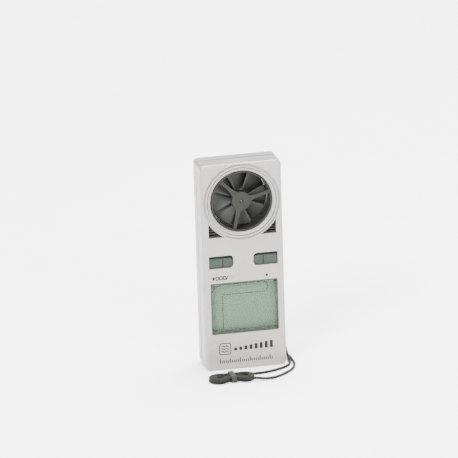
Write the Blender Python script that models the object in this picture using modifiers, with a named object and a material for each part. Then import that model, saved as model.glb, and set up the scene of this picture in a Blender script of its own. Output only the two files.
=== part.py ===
"""Handheld weather meter: a pocket impeller anemometer that stands on its flat lower end.

Frame: X across the case, Y from the front face (-Y) to the back (+Y), Z up towards the impeller.
The origin is the centre of the base.  Lengths are written in millimetres and become metres where
an object is made.  Every sub-part is its own object; pieces that only shape others are guides in
a second collection.
"""
import bpy
import bmesh
from math import acos, asin, cos, degrees, pi, radians, sin, sqrt
from mathutils import Vector

MM = 0.001
GAP = 0.3                      # clearance between neighbouring pieces
PAST = 2.0                     # how far a cutter runs beyond the surface it opens
SMOOTH_ABOVE = 40              # degrees; sharper edges than this stay crisp
DUCT_STEPS = 56                # facets round the impeller duct
WELL_STEPS = 48                # facets round the battery well

# Case
CASE_WIDTH = 34.0
CASE_HEIGHT = 88.0
FACE_Y = -7.2                  # flat front face
RING_Y = -7.5                  # proud face of the ring round the impeller
BACK_Y = 7.5                   # flat back face
WALL = 1.8
FRONT_WALL = 1.5
CORNER_TOP = 1.8
CORNER_BASE = 2.4
FRONT_FILLET = 1.1
BACK_FILLET = 1.7
SPLIT_FRONT = 0.6              # the front shell ends here
SPLIT_BACK = 1.4               # the rear shell starts here
GASKET_INSET = (0.4, 1.5)      # the seal's outer and inner edges, in from the sides
GASKET_GAP = 0.2
HALF_WIDTH = CASE_WIDTH / 2
INNER_X = HALF_WIDTH - WALL
INNER_TOP = CASE_HEIGHT - WALL
INNER_FRONT_Y = FACE_Y + FRONT_WALL
INNER_BACK_Y = BACK_Y - WALL
AROUND_X = (-HALF_WIDTH - PAST, HALF_WIDTH + PAST)
AROUND_Z = (-PAST, CASE_HEIGHT + PAST)

# Impeller duct
DUCT_Z = 71.6                  # height of the impeller axis
DUCT_BORE = 13.0
DUCT_WALL = 15.4
RING_INNER = 15.3
RING_OUTER = 16.2
MOUTH_FLARE = 13.5
STOP_LIP = 12.35
STOP_LIP_Y = 7.0
DUCT_SEAL = (13.4, 14.5)

# Impeller cartridge
TUBE_OUTER = 12.75
TUBE_INNER = 12.1
TUBE_Y = (-6.9, 4.7)
REAR_RING_Y = (5.0, 6.7)
ARM_ANGLES = (14.0, 132.0, 254.0)       # of the front arms, anticlockwise from +X
ARM_SPAN = (2.0, 12.4)         # an arm runs from inside the hub into the tube
ARM_HALF = (2.4, 0.65)         # half width at the hub and at the tube
ARM_SWEEP = 3.0                # degrees that an arm bends along its length
ARM_FLARE = 4                  # higher keeps the widening closer to the hub
FRONT_HUB = 4.1
FRONT_HUB_Y = (-6.7, -4.6)
FRONT_ARM_Y = (-6.4, -4.9)
REAR_HUB = 4.4
REAR_HUB_Y = (5.0, 6.5)
REAR_ARM_Y = (5.2, 6.3)
REAR_ARM_HALF = (1.4, 0.7)
REAR_ARM_START = 70.0
BEARING_RADIUS = 0.9
BEARING_HOLE = 1.2
FRONT_BEARING_Y = (-6.85, -4.7)
REAR_BEARING_Y = (4.7, 6.6)
BEARING_CUP = 0.7
BEARING_CUP_DEPTH = 0.6

# Impeller
BLADE_COUNT = 8
BLADE_TIP = 11.8
BLADE_THICKNESS = 0.5
BLADE_DEPTH = 4.6              # along the axis, centred on the hub
BLADE_SPAN = 70.0              # degrees that one blade turns over its depth
BLADE_START = -0.2            # place of the first blade, in blade spacings from +X
BLADE_TURNS = 6                # facets across a blade
BLADE_ROOT = 0.8               # how far a blade reaches into the hub
ROTOR_HUB = 3.0
ROTOR_HUB_Y = (-3.4, 3.4)
ROTOR_BORE = 0.9
SHAFT_RADIUS = 0.6
PIVOT_RADIUS = 0.4
SHAFT_Y = 4.2
PIVOT_Y = 5.0
MAGNET = (0.9, 2.0)
MAGNET_POCKET = 2.3
MAGNET_Y = (2.5, 3.4)

# Vents below the ring
VENT_OUTER_X = 14.2
VENT_ARC = 16.4
VENT_DROP = 14.7               # from the impeller axis down to the level edge
VENT_BOTTOM = DUCT_Z - VENT_DROP
GRILLE_Y = (-5.4, -4.6)
GRILLE_MARGIN = 0.7
GRILLE_INNER_X = 6.6
GRILLE_TOP = DUCT_Z - 6.6
LOUVRE_COUNT = 3
LOUVRE_HEIGHT = 0.7
LOUVRE_PITCH = 1.6
LOUVRE_BOTTOM = VENT_BOTTOM + 0.9
LOUVRE_INNER_X = 11.0
LOUVRE_STEP_X = 0.6            # each louvre starts further out than the one below it
LOUVRE_OUTER_X = 13.9

# Temperature bead behind the left vent
BEAD_PLACE = (-11.5, 58.0)
BEAD_RADIUS = 0.85
BEAD_LEAD = 0.35
BEAD_Y = (-3.9, -1.7)

# Buttons
BUTTON_Z = 46.4
SLOT_X = (4.2, 14.45)
SLOT_HALF = 2.7
SLOT_GAP = 0.25
SLOT_ROUND = 1.6
SLOT_SQUARE = 0.3
BUTTON_Y = (-6.5, -4.6)
FLANGE_Y = (-5.4, -4.6)
FLANGE_MARGIN = 0.7
FLANGE_OUTER = 0.35            # narrower towards the side wall
BUTTON_GROOVE_X = 8.5
BUTTON_GROOVE = 0.32
BUTTON_GROOVE_DEPTH = 0.3
STEM_X = 9.4
STEM_RADIUS = 1.2
STEM_END_Y = -3.7
PLUNGER_RADIUS = 0.7
PLUNGER_Y = (-3.4, -2.6)
SWITCH_Y = (-2.9, -1.7)
SWITCH_HALF = 2.2
SWITCH_HOLE = 1.0
SWITCH_HOLE_END_Y = -1.95

# Display
WINDOW_X = 14.15
WINDOW_Z = (15.4, 37.5)
WINDOW_ROUND = 0.6
LENS_POCKET_X = 15.0
LENS_POCKET_Z = (14.5, 38.4)
LENS_POCKET_Y = -6.45
LENS_GAP = 0.25
LENS_FACE_Y = -7.0             # the raised middle of the window fills the opening
LENS_Y = (-6.2, -5.4)
FRAME_Y = (-5.2, -4.2)         # black frame between the window and the display glass
FRAME_INNER_X = 14.15
FRAME_INNER_Z = (16.2, 37.4)
GLASS_X = 14.6
GLASS_Z = (14.9, 38.0)
GLASS_Y = (-4.0, -2.9)
HOLDER_X = 14.7
HOLDER_Z = (14.1, 38.8)
HOLDER_Y = (-2.65, -1.7)
BACKLIGHT_X = 11.7
BACKLIGHT_Z = (17.9, 35.0)
BACKLIGHT_Y = (-2.65, -2.1)
STRIP_X = 12.3
STRIP_Z = ((15.7, 16.7), (36.2, 37.2))

# Circuit board
BOARD_X = 14.6
BOARD_Z = (3.0, 55.2)
BOARD_Y = (-1.4, -0.4)
PARTS_Y = -0.1                 # first level above the board's back
CHIP_PLACE = (0, 46.5)
CHIP_RADIUS = 4.0
CHIP_HEIGHT = 1.2
SENSOR = ((-2.0, 2.0), (PARTS_Y, 1.4), (51.8, 54.9))
CRYSTAL = ((6.0, 12.0), (PARTS_Y, 1.5), (45.0, 47.0))
CAPACITOR_PLACE = (-9.5, 46.5)
CAPACITOR_RADIUS = 2.0
CAPACITOR_HEIGHT = 4.2

# Battery
CELL_Z = 27.0
CELL_RADIUS = 10.0
CELL_Y = (0.9, 4.1)
CELL_CAP = 8.6                 # radius of the smaller, negative face
CELL_STEP = 0.35
CONTACT_THICKNESS = 0.3
LEAF_HALF = 1.6
LEAF_REACH = 8.0
DIMPLE_RADIUS = 1.2
TAB_HALF = 2.0
TAB_FOOT = 2.95
WELL_BORE = 11.0
WELL_OUTER = 14.2
COVER_BORE = 12.8
COVER_LEDGE_Y = 5.1
COVER_RADIUS = 12.5
COVER_PLATE_Y = 6.4
PLUG_RADIUS = 10.7
PLUG_Y = 4.5
COIN_SLOT = (12.0, 1.6, 0.9)
ORING_MAJOR = 11.9
ORING_MINOR = 0.4
ORING_Y = 5.75
ORING_SIDES = 6

# Case screws
SCREW_PLACES = ((-13.4, 84.4), (13.4, 84.4), (-6.5, 5.0), (6.5, 5.0))
SCREW_NAMES = ("top_left", "top_right", "base_left", "base_right")
BOSS_RADIUS = 2.2
PILOT_RADIUS = 1.15
HEAD_BORE = 1.8
HEAD_SEAT_Y = 5.9
HEAD_RADIUS = 1.5
HEAD_Y = (6.2, 7.2)
HEAD_CHAMFER = 0.35
CROSS_HALF = (0.95, 0.16)      # half length and half width of the driver recess
CROSS_DEPTH = 0.45
SHANK_RADIUS = 0.85
SHANK_END_Y = -3.0
PILOT_END_Y = -3.6

# Lanyard passage through the lower corner of the rear shell
EYELET_Z = 6.5
EYELET_CENTRE = (16.2, 6.8)
EYELET_MAJOR = 3.8
EYELET_MINOR = 1.25
EYELET_BLOCK = (9.8, 15.6, 4.0, 9.0)

# Lanyard
CORD_RADIUS = 0.55
CORD_STEP = 2.2
HANK_X = (-19.6, 1.2)
HANK_Y = (-26.5, -16.4)
HANK_Z = (0.0, 2.5)
TIE_X = (-10.4, -8.0)
TIE_Y = (-25.25, -17.65)       # inside of the tie
TIE_Z = (0.40, 2.70)
TIE_THICKNESS = 0.35
CORD_ROUTE = (
    (-0.3, -16.95, 0.56), (3.0, -16.9, 0.56), (7.0, -16.2, 0.56), (11.5, -14.3, 0.56),
    (15.5, -11.6, 0.56), (18.0, -8.0, 0.56), (18.7, -3.5, 0.65), (18.8, 0.3, 2.20),
    (18.4, 2.4, 5.20), (17.2, 3.0, 6.50), (16.2, 3.0, 6.50), (14.75, 3.29, 6.50),
    (13.5, 4.1, 6.50), (12.7, 5.35, 6.50), (12.4, 6.8, 6.50), (12.5, 8.2, 6.20),
    (13.9, 9.0, 4.40), (16.4, 8.5, 2.00), (18.5, 6.8, 0.70), (19.8, 3.0, 0.56),
    (20.0, -3.0, 0.56), (19.6, -9.5, 0.56), (17.3, -15.5, 0.56), (13.0, -20.5, 0.56),
    (8.5, -24.0, 0.62), (4.0, -25.7, 0.95), (-0.3, -25.95, 1.70),
)


# ---------------------------------------------------------------- scene and materials

def clear_scene():
    for obj in list(bpy.data.objects):
        bpy.data.objects.remove(obj, do_unlink=True)


def new_collection(name):
    collection = bpy.data.collections.new(name)
    bpy.context.scene.collection.children.link(collection)
    return collection


def plastic(name, colour, roughness, metallic=0.0, alpha=1.0, transmission=0.0):
    material = bpy.data.materials.new(name)
    material.use_nodes = True
    shader = material.node_tree.nodes["Principled BSDF"]
    shader.inputs["Base Color"].default_value = (*colour, 1.0)
    shader.inputs["Roughness"].default_value = roughness
    shader.inputs["Metallic"].default_value = metallic
    shader.inputs["Alpha"].default_value = alpha
    shader.inputs["Transmission Weight"].default_value = transmission
    material.diffuse_color = (*colour, alpha)
    return material


def make_materials():
    return {
        "case": plastic("case_plastic", (0.60, 0.58, 0.55), 0.42),
        "seal": plastic("seal_rubber", (0.03, 0.03, 0.03), 0.75),
        "dark": plastic("cartridge_plastic", (0.055, 0.058, 0.050), 0.45),
        "rotor": plastic("rotor_plastic", (0.045, 0.048, 0.045), 0.22),
        "button": plastic("button_plastic", (0.17, 0.22, 0.19), 0.50),
        "lens": plastic("lens_acrylic", (0.90, 0.95, 0.92), 0.05, alpha=0.35, transmission=0.9),
        "display": plastic("display_glass", (0.35, 0.43, 0.36), 0.20),
        "white": plastic("white_plastic", (0.75, 0.75, 0.72), 0.55),
        "backlight": plastic("backlight_film", (0.70, 0.78, 0.72), 0.40),
        "board": plastic("board_laminate", (0.02, 0.13, 0.06), 0.45),
        "chip": plastic("chip_resin", (0.015, 0.015, 0.015), 0.40),
        "steel": plastic("steel", (0.60, 0.60, 0.61), 0.28, metallic=1.0),
        "brass": plastic("brass", (0.72, 0.52, 0.22), 0.30, metallic=1.0),
        "magnet": plastic("magnet_nickel", (0.45, 0.44, 0.42), 0.35, metallic=1.0),
        "cord": plastic("cord_braid", (0.060, 0.062, 0.045), 0.85),
    }


# ---------------------------------------------------------------- general makers

def place(name, mesh, material, collection, location=(0, 0, 0), rotation=(0, 0, 0)):
    obj = bpy.data.objects.new(name, mesh)
    obj.location = Vector(location) * MM
    obj.rotation_euler = rotation
    collection.objects.link(obj)
    if material is not None:
        mesh.materials.append(material)
    if collection.name == "guides":
        obj.hide_render = True
        obj.display_type = "WIRE"
    return obj


def bevel_edges(obj, width, segments=2, angle=30.0):
    modifier = obj.modifiers.new("edge_round", "BEVEL")
    modifier.width = width * MM
    modifier.segments = segments
    modifier.limit_method = "ANGLE"
    modifier.angle_limit = radians(angle)
    return modifier


def boolean(obj, tool, operation="DIFFERENCE"):
    modifier = obj.modifiers.new(operation.lower(), "BOOLEAN")
    modifier.operation = operation
    modifier.solver = "EXACT"
    modifier.object = tool


def block(name, x, y, z, material, collection, round_by=0.0):
    """A box between the given pairs of limits, in millimetres."""
    size = Vector((x[1] - x[0], y[1] - y[0], z[1] - z[0])) * MM
    centre = ((x[0] + x[1]) / 2, (y[0] + y[1]) / 2, (z[0] + z[1]) / 2)
    mesh = bpy.data.meshes.new(name)
    shape = bmesh.new()
    bmesh.ops.create_cube(shape, size=1.0)
    bmesh.ops.scale(shape, vec=size, verts=shape.verts)
    shape.to_mesh(mesh)
    shape.free()
    obj = place(name, mesh, material, collection, centre)
    if round_by:
        bevel_edges(obj, round_by)
    return obj


def rod(name, radius, y, x_z, material, collection, segments=32):
    """A cylinder along Y, centred on x_z."""
    mesh = bpy.data.meshes.new(name)
    shape = bmesh.new()
    bmesh.ops.create_cone(shape, cap_ends=True, segments=segments, radius1=radius * MM,
                          radius2=radius * MM, depth=(y[1] - y[0]) * MM)
    shape.to_mesh(mesh)
    shape.free()
    mesh.shade_smooth()
    mesh.set_sharp_from_angle(angle=radians(SMOOTH_ABOVE))
    centre = (x_z[0], (y[0] + y[1]) / 2, x_z[1])
    return place(name, mesh, material, collection, centre, (radians(90), 0, 0))


def turned(name, profile, x_z, material, collection, steps=48, closed=False):
    """A shape turned about an axis along Y through x_z.

    The profile is (radius, y) pairs that start at the front and run down the outer side to the
    back; a closed profile, for a ring, comes back along the inner side.
    """
    mesh = bpy.data.meshes.new(name)
    shape = bmesh.new()
    verts = [shape.verts.new((radius * MM, 0.0, -y * MM)) for radius, y in profile]
    for first, second in zip(verts, verts[1:]):
        shape.edges.new((first, second))
    if closed:
        shape.edges.new((verts[-1], verts[0]))
    shape.to_mesh(mesh)
    shape.free()
    obj = place(name, mesh, material, collection, (x_z[0], 0, x_z[1]), (radians(90), 0, 0))
    screw = obj.modifiers.new("turn", "SCREW")
    screw.axis = "Z"
    screw.angle = 2 * pi
    screw.steps = steps
    screw.render_steps = steps
    screw.use_merge_vertices = True
    screw.merge_threshold = 0.00001
    screw.use_smooth_shade = True
    return obj


def ring(name, inner, outer, y, x_z, material, collection, steps=48):
    profile = [(outer, y[0]), (outer, y[1]), (inner, y[1]), (inner, y[0])]
    return turned(name, profile, x_z, material, collection, steps, closed=True)


def curve_to_mesh(curve_object, collection, material):
    """Swap a curve object for a closed mesh object in the same place."""
    bpy.context.view_layer.update()
    graph = bpy.context.evaluated_depsgraph_get()
    mesh = bpy.data.meshes.new_from_object(curve_object.evaluated_get(graph))
    shape = bmesh.new()
    shape.from_mesh(mesh)
    bmesh.ops.remove_doubles(shape, verts=shape.verts, dist=0.000001)
    shape.to_mesh(mesh)
    shape.free()
    name = curve_object.name
    matrix = curve_object.matrix_world.copy()
    bpy.data.objects.remove(curve_object, do_unlink=True)
    mesh.materials.clear()
    obj = place(name, mesh, material, collection)
    obj.name = name
    obj.matrix_world = matrix
    return obj


PLANES = {
    "XZ": ((radians(90), 0, 0), lambda level: (0, level, 0)),
    "XY": ((0, 0, 0), lambda level: (0, 0, level)),
    "YZ": ((radians(90), 0, radians(90)), lambda level: (level, 0, 0)),
}


def prism(name, outlines, plane, limits, material, collection):
    """A flat outline, or several with holes, given thickness across its plane."""
    curve = bpy.data.curves.new(name, "CURVE")
    curve.dimensions = "2D"
    curve.fill_mode = "BOTH"
    curve.extrude = (limits[1] - limits[0]) / 2 * MM
    for outline in outlines:
        spline = curve.splines.new("POLY")
        spline.points.add(len(outline) - 1)
        for point, (first, second) in zip(spline.points, outline):
            point.co = (first * MM, second * MM, 0.0, 1.0)
        spline.use_cyclic_u = True
    rotation, offset = PLANES[plane]
    obj = bpy.data.objects.new(name, curve)
    obj.location = Vector(offset((limits[0] + limits[1]) / 2)) * MM
    obj.rotation_euler = rotation
    bpy.context.scene.collection.objects.link(obj)
    return curve_to_mesh(obj, collection, material)


def arc_points(centre, radius, start, end, count):
    """Points on an arc, angles in degrees, both ends included."""
    angles = [start + (end - start) * index / count for index in range(count + 1)]
    return [(centre[0] + radius * cos(radians(a)), centre[1] + radius * sin(radians(a)))
            for a in angles]


def circle_points(centre, radius, count):
    return [(centre[0] + radius * cos(2 * pi * step / count),
             centre[1] + radius * sin(2 * pi * step / count)) for step in range(count)]


def rounded_outline(x, z, radii, count=4):
    """A rectangle with one radius per corner: low x low z, then anticlockwise."""
    corners = (
        (x[0] + radii[0], z[0] + radii[0], 180),
        (x[1] - radii[1], z[0] + radii[1], 270),
        (x[1] - radii[2], z[1] - radii[2], 0),
        (x[0] + radii[3], z[1] - radii[3], 90),
    )
    points = []
    for (centre_x, centre_z, start), radius in zip(corners, radii):
        points += arc_points((centre_x, centre_z), radius, start, start + 90, count)
    return points


def mirrored(points, side):
    """The outline itself on the right, or its mirror image on the left."""
    if side > 0:
        return points
    return [(-first, second) for first, second in reversed(points)]


def sided(side, inner, outer):
    """Limits on X for the right-hand side, or mirrored for the left-hand one."""
    if side > 0:
        return (inner, outer)
    return (-outer, -inner)


# ---------------------------------------------------------------- case shells

def case_mesh(name):
    """The whole case as one rounded solid."""
    mesh = bpy.data.meshes.new(name)
    shape = bmesh.new()
    bmesh.ops.create_cube(shape, size=1.0)
    depth = BACK_Y - FACE_Y
    bmesh.ops.scale(shape, vec=Vector((CASE_WIDTH, depth, CASE_HEIGHT)) * MM, verts=shape.verts)
    shift = Vector((0, (BACK_Y + FACE_Y) / 2, CASE_HEIGHT / 2)) * MM
    bmesh.ops.translate(shape, vec=shift, verts=shape.verts)

    def round_edges(chosen, radius, segments):
        edges = [edge for edge in shape.edges if chosen(edge.verts[0].co, edge.verts[1].co)]
        bmesh.ops.bevel(shape, geom=edges, offset=radius * MM, segments=segments, profile=0.5,
                        affect="EDGES", clamp_overlap=True)

    middle = CASE_HEIGHT / 2 * MM
    tiny = 0.01 * MM
    round_edges(lambda a, b: abs(a.y - b.y) > tiny and a.z > middle, CORNER_TOP, 5)
    round_edges(lambda a, b: abs(a.y - b.y) > tiny and max(a.z, b.z) < tiny, CORNER_BASE, 5)
    front = FACE_Y * MM
    back = BACK_Y * MM
    round_edges(lambda a, b: max(abs(a.y - front), abs(b.y - front)) < tiny, FRONT_FILLET, 3)
    round_edges(lambda a, b: max(abs(a.y - back), abs(b.y - back)) < tiny, BACK_FILLET, 4)
    shape.to_mesh(mesh)
    shape.free()
    mesh.shade_smooth()
    mesh.set_sharp_from_angle(angle=radians(SMOOTH_ABOVE))
    return mesh


def cavity(name, y, keep, guides):
    """The inner room of a shell, less the pieces of moulding in keep."""
    room = block(name, (-INNER_X, INNER_X), y, (WALL, INNER_TOP), None, guides)
    for tool in keep:
        boolean(room, tool)
    return room


def bosses(prefix, y, guides):
    return [rod(f"{prefix}_boss_{name}", BOSS_RADIUS, y, place_xz, None, guides, 20)
            for name, place_xz in zip(SCREW_NAMES, SCREW_PLACES)]


def vent_outline():
    """The corner left between a circle about the duct, a vertical line and a level line."""
    start = -degrees(acos(VENT_OUTER_X / VENT_ARC))
    end = degrees(asin(-VENT_DROP / VENT_ARC))
    curve = arc_points((0, DUCT_Z), VENT_ARC, end, start, 8)
    return curve + [(VENT_OUTER_X, VENT_BOTTOM)]


def slot_outline(side, shrink=0.0):
    """A button slot: round corners towards the middle, square ones outside."""
    radii = (SLOT_ROUND - shrink, SLOT_SQUARE, SLOT_SQUARE, SLOT_ROUND - shrink)
    points = rounded_outline((SLOT_X[0] + shrink, SLOT_X[1] - shrink),
                             (BUTTON_Z - SLOT_HALF + shrink, BUTTON_Z + SLOT_HALF - shrink), radii)
    return mirrored(points, side)


def make_front_shell(materials, parts, guides):
    shell = place("front_shell", case_mesh("front_shell"), materials["case"], parts)
    behind = block("front_split_guide", AROUND_X, (SPLIT_FRONT, BACK_Y + PAST), AROUND_Z, None,
                   guides)
    boolean(shell, behind)
    keep = bosses("front", (INNER_FRONT_Y - 1, SPLIT_FRONT + 2 * PAST), guides)
    boolean(shell, cavity("front_room_guide", (INNER_FRONT_Y, SPLIT_FRONT + PAST), keep, guides))
    boolean(shell, rod("duct_opening_guide", (DUCT_BORE + DUCT_WALL) / 2,
                       (RING_Y - PAST, SPLIT_FRONT + PAST), (0, DUCT_Z), None, guides,
                       DUCT_STEPS))
    window = rounded_outline((-WINDOW_X, WINDOW_X), WINDOW_Z, (WINDOW_ROUND,) * 4)
    boolean(shell, prism("window_guide", [window], "XZ", (RING_Y - PAST, INNER_FRONT_Y - 0.4), None,
                         guides))
    pocket = block("lens_pocket_guide", (-LENS_POCKET_X, LENS_POCKET_X),
                   (LENS_POCKET_Y, INNER_FRONT_Y + 0.7), LENS_POCKET_Z, None, guides)
    boolean(shell, pocket)
    through_front = (RING_Y - PAST, INNER_FRONT_Y + 0.7)
    for side, word in ((-1, "left"), (1, "right")):
        vent = mirrored(vent_outline(), side)
        boolean(shell, prism(f"vent_{word}_guide", [vent], "XZ", through_front, None, guides))
        slot = slot_outline(side)
        boolean(shell, prism(f"slot_{word}_guide", [slot], "XZ", through_front, None, guides))
    for name, place_xz in zip(SCREW_NAMES, SCREW_PLACES):
        boolean(shell, rod(f"pilot_{name}_guide", PILOT_RADIUS,
                           (PILOT_END_Y, SPLIT_FRONT + PAST), place_xz, None, guides, 16))
    ring_back = INNER_FRONT_Y - 0.1
    duct_end = SPLIT_FRONT - 0.1
    liner = [(RING_INNER, RING_Y), (RING_OUTER, FACE_Y + 0.15), (RING_OUTER, ring_back),
             (DUCT_WALL, ring_back), (DUCT_WALL, duct_end), (DUCT_BORE, duct_end),
             (DUCT_BORE, RING_Y + 0.5), (MOUTH_FLARE, RING_Y)]
    duct_liner = turned("duct_liner_guide", liner, (0, DUCT_Z), None, guides, DUCT_STEPS, closed=True)
    boolean(shell, duct_liner, "UNION")


def make_rear_shell(materials, parts, guides):
    shell = place("rear_shell", case_mesh("rear_shell"), materials["case"], parts)
    ahead = block("rear_split_guide", AROUND_X, (RING_Y - PAST, SPLIT_BACK), AROUND_Z, None,
                  guides)
    boolean(shell, ahead)
    corner_x, block_x, low_z, high_z = EYELET_BLOCK
    low_y = SPLIT_BACK - PAST
    kept_y = (low_y - 1, INNER_BACK_Y + 1)
    keep = [rod("rear_duct_guide", DUCT_WALL, kept_y, (0, DUCT_Z), None, guides, DUCT_STEPS),
            rod("well_guide", WELL_OUTER, kept_y, (0, CELL_Z), None, guides, WELL_STEPS),
            block("eyelet_block_guide", (corner_x, block_x), kept_y, (low_z, high_z),
                  None, guides)]
    keep += bosses("rear", kept_y, guides)
    boolean(shell, cavity("rear_room_guide", (low_y, INNER_BACK_Y), keep, guides))
    high_y = BACK_Y + PAST
    bore = [(0, low_y), (DUCT_BORE, low_y), (DUCT_BORE, STOP_LIP_Y), (STOP_LIP, STOP_LIP_Y + 0.15),
            (STOP_LIP, high_y), (0, high_y)]
    boolean(shell, turned("rear_bore_guide", bore, (0, DUCT_Z), None, guides, DUCT_STEPS))
    well = [(0, low_y), (WELL_BORE, low_y), (WELL_BORE, COVER_LEDGE_Y), (COVER_BORE, COVER_LEDGE_Y),
            (COVER_BORE, high_y), (0, high_y)]
    boolean(shell, turned("well_bore_guide", well, (0, CELL_Z), None, guides, WELL_STEPS))
    for name, place_xz in zip(SCREW_NAMES, SCREW_PLACES):
        hole = [(0, low_y), (PILOT_RADIUS, low_y), (PILOT_RADIUS, HEAD_SEAT_Y),
                (HEAD_BORE, HEAD_SEAT_Y), (HEAD_BORE, high_y), (0, high_y)]
        boolean(shell, turned(f"screw_hole_{name}_guide", hole, place_xz, None, guides, 16))
    section = circle_points((EYELET_MAJOR, 0), EYELET_MINOR, 12)
    passage = turned("eyelet_guide", section, (0, 0), None, guides, 32, closed=True)
    passage.location = Vector((*EYELET_CENTRE, EYELET_Z)) * MM
    passage.rotation_euler = (0, 0, 0)
    boolean(shell, passage)


def make_seals(materials, parts):
    outer, inner = [
        rounded_outline((inset - HALF_WIDTH, HALF_WIDTH - inset), (inset, CASE_HEIGHT - inset),
                        (CORNER_BASE - shrink,) * 2 + (CORNER_TOP - shrink,) * 2)
        for inset, shrink in ((GASKET_INSET[0], 0.4), (GASKET_INSET[1], 1.2))]
    level = (SPLIT_FRONT + GASKET_GAP, SPLIT_BACK - GASKET_GAP)
    prism("case_gasket", [outer, inner], "XZ", level, materials["seal"], parts)
    ring("duct_gasket", *DUCT_SEAL, level, (0, DUCT_Z), materials["seal"], parts)


def make_screws(materials, parts, guides):
    for name, place_xz in zip(SCREW_NAMES, SCREW_PLACES):
        profile = [(0, SHANK_END_Y), (SHANK_RADIUS * 0.6, SHANK_END_Y),
                   (SHANK_RADIUS, SHANK_END_Y + 0.6), (SHANK_RADIUS, HEAD_Y[0]),
                   (HEAD_RADIUS, HEAD_Y[0]), (HEAD_RADIUS, HEAD_Y[1] - HEAD_CHAMFER),
                   (HEAD_RADIUS - HEAD_CHAMFER, HEAD_Y[1]), (0, HEAD_Y[1])]
        screw = turned(f"case_screw_{name}", profile, place_xz, materials["steel"], parts, 16)
        for turn, half in (("level", CROSS_HALF), ("upright", CROSS_HALF[::-1])):
            x_limits = (place_xz[0] - half[0], place_xz[0] + half[0])
            z_limits = (place_xz[1] - half[1], place_xz[1] + half[1])
            cross = block(f"cross_{turn}_{name}_guide", x_limits,
                          (HEAD_Y[1] - CROSS_DEPTH, HEAD_Y[1] + 0.5), z_limits, None, guides)
            boolean(screw, cross)


# ---------------------------------------------------------------- impeller cartridge

def arm_outline(angle, half_widths, sweep, count=6):
    """An arm in the duct's plane that flares towards the hub."""
    root, tip = ARM_SPAN
    root_half, tip_half = half_widths
    left = []
    right = []
    for step in range(count + 1):
        share = step / count
        radius = root + (tip - root) * share
        heading = radians(angle + sweep * (share - 0.5))
        half = tip_half + (root_half - tip_half) * (1 - share) ** ARM_FLARE
        along = Vector((cos(heading), sin(heading)))
        across = Vector((-along.y, along.x))
        centre = along * radius
        left.append(centre + across * half)
        right.append(centre - across * half)
    points = right + left[::-1]
    return [(point.x, point.y + DUCT_Z) for point in points]


def make_cartridge_frame(materials, parts, guides):
    """The tube with the three curved front arms and the front hub, in one moulding."""
    centre = (0, DUCT_Z)
    frame = ring("cartridge_frame", TUBE_INNER, TUBE_OUTER, TUBE_Y, centre, materials["dark"],
                 parts, DUCT_STEPS)
    hub = [(0, FRONT_HUB_Y[0]), (FRONT_HUB - 0.5, FRONT_HUB_Y[0]), (FRONT_HUB, FRONT_HUB_Y[0] + 0.4),
           (FRONT_HUB, FRONT_HUB_Y[1]), (0, FRONT_HUB_Y[1])]
    for index, angle in enumerate(ARM_ANGLES):
        outline = arm_outline(angle, ARM_HALF, ARM_SWEEP)
        arm = prism(f"front_arm_{index}_guide", [outline], "XZ", FRONT_ARM_Y, None, guides)
        boolean(frame, arm, "UNION")
    boolean(frame, turned("front_hub_guide", hub, centre, None, guides, 32), "UNION")
    through_hub = (FRONT_HUB_Y[0] - PAST, FRONT_HUB_Y[1] + PAST)
    boolean(frame, rod("front_bearing_hole_guide", BEARING_HOLE, through_hub, centre, None,
                       guides, 20))


def make_rear_spider(materials, parts, guides):
    """The clip-in ring and arms that carry the rear bearing."""
    centre = (0, DUCT_Z)
    spider = ring("rear_spider", TUBE_INNER, TUBE_OUTER, REAR_RING_Y, centre, materials["dark"],
                  parts, DUCT_STEPS)
    for index in range(3):
        outline = arm_outline(REAR_ARM_START + 120.0 * index, REAR_ARM_HALF, 0.0, 3)
        arm = prism(f"rear_arm_{index}_guide", [outline], "XZ", REAR_ARM_Y, None, guides)
        boolean(spider, arm, "UNION")
    hub = rod("rear_hub_guide", REAR_HUB, REAR_HUB_Y, centre, None, guides, 32)
    boolean(spider, hub, "UNION")
    through_hub = (REAR_HUB_Y[0] - PAST, REAR_HUB_Y[1] + PAST)
    boolean(spider, rod("rear_bearing_hole_guide", BEARING_HOLE, through_hub, centre, None,
                        guides, 20))


def make_bearings(materials, parts):
    centre = (0, DUCT_Z)
    front, back = FRONT_BEARING_Y
    cup = back - BEARING_CUP_DEPTH
    profile = [(0, front), (BEARING_RADIUS - 0.2, front), (BEARING_RADIUS, front + 0.2),
               (BEARING_RADIUS, back), (BEARING_CUP, back), (BEARING_CUP, cup), (0, cup)]
    turned("front_bearing", profile, centre, materials["brass"], parts, 20)
    front, back = REAR_BEARING_Y
    cup = front + BEARING_CUP_DEPTH
    profile = [(0, cup), (BEARING_CUP, cup), (BEARING_CUP, front), (BEARING_RADIUS, front),
               (BEARING_RADIUS, back - 0.2), (BEARING_RADIUS - 0.2, back), (0, back)]
    turned("rear_bearing", profile, centre, materials["brass"], parts, 20)


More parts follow.
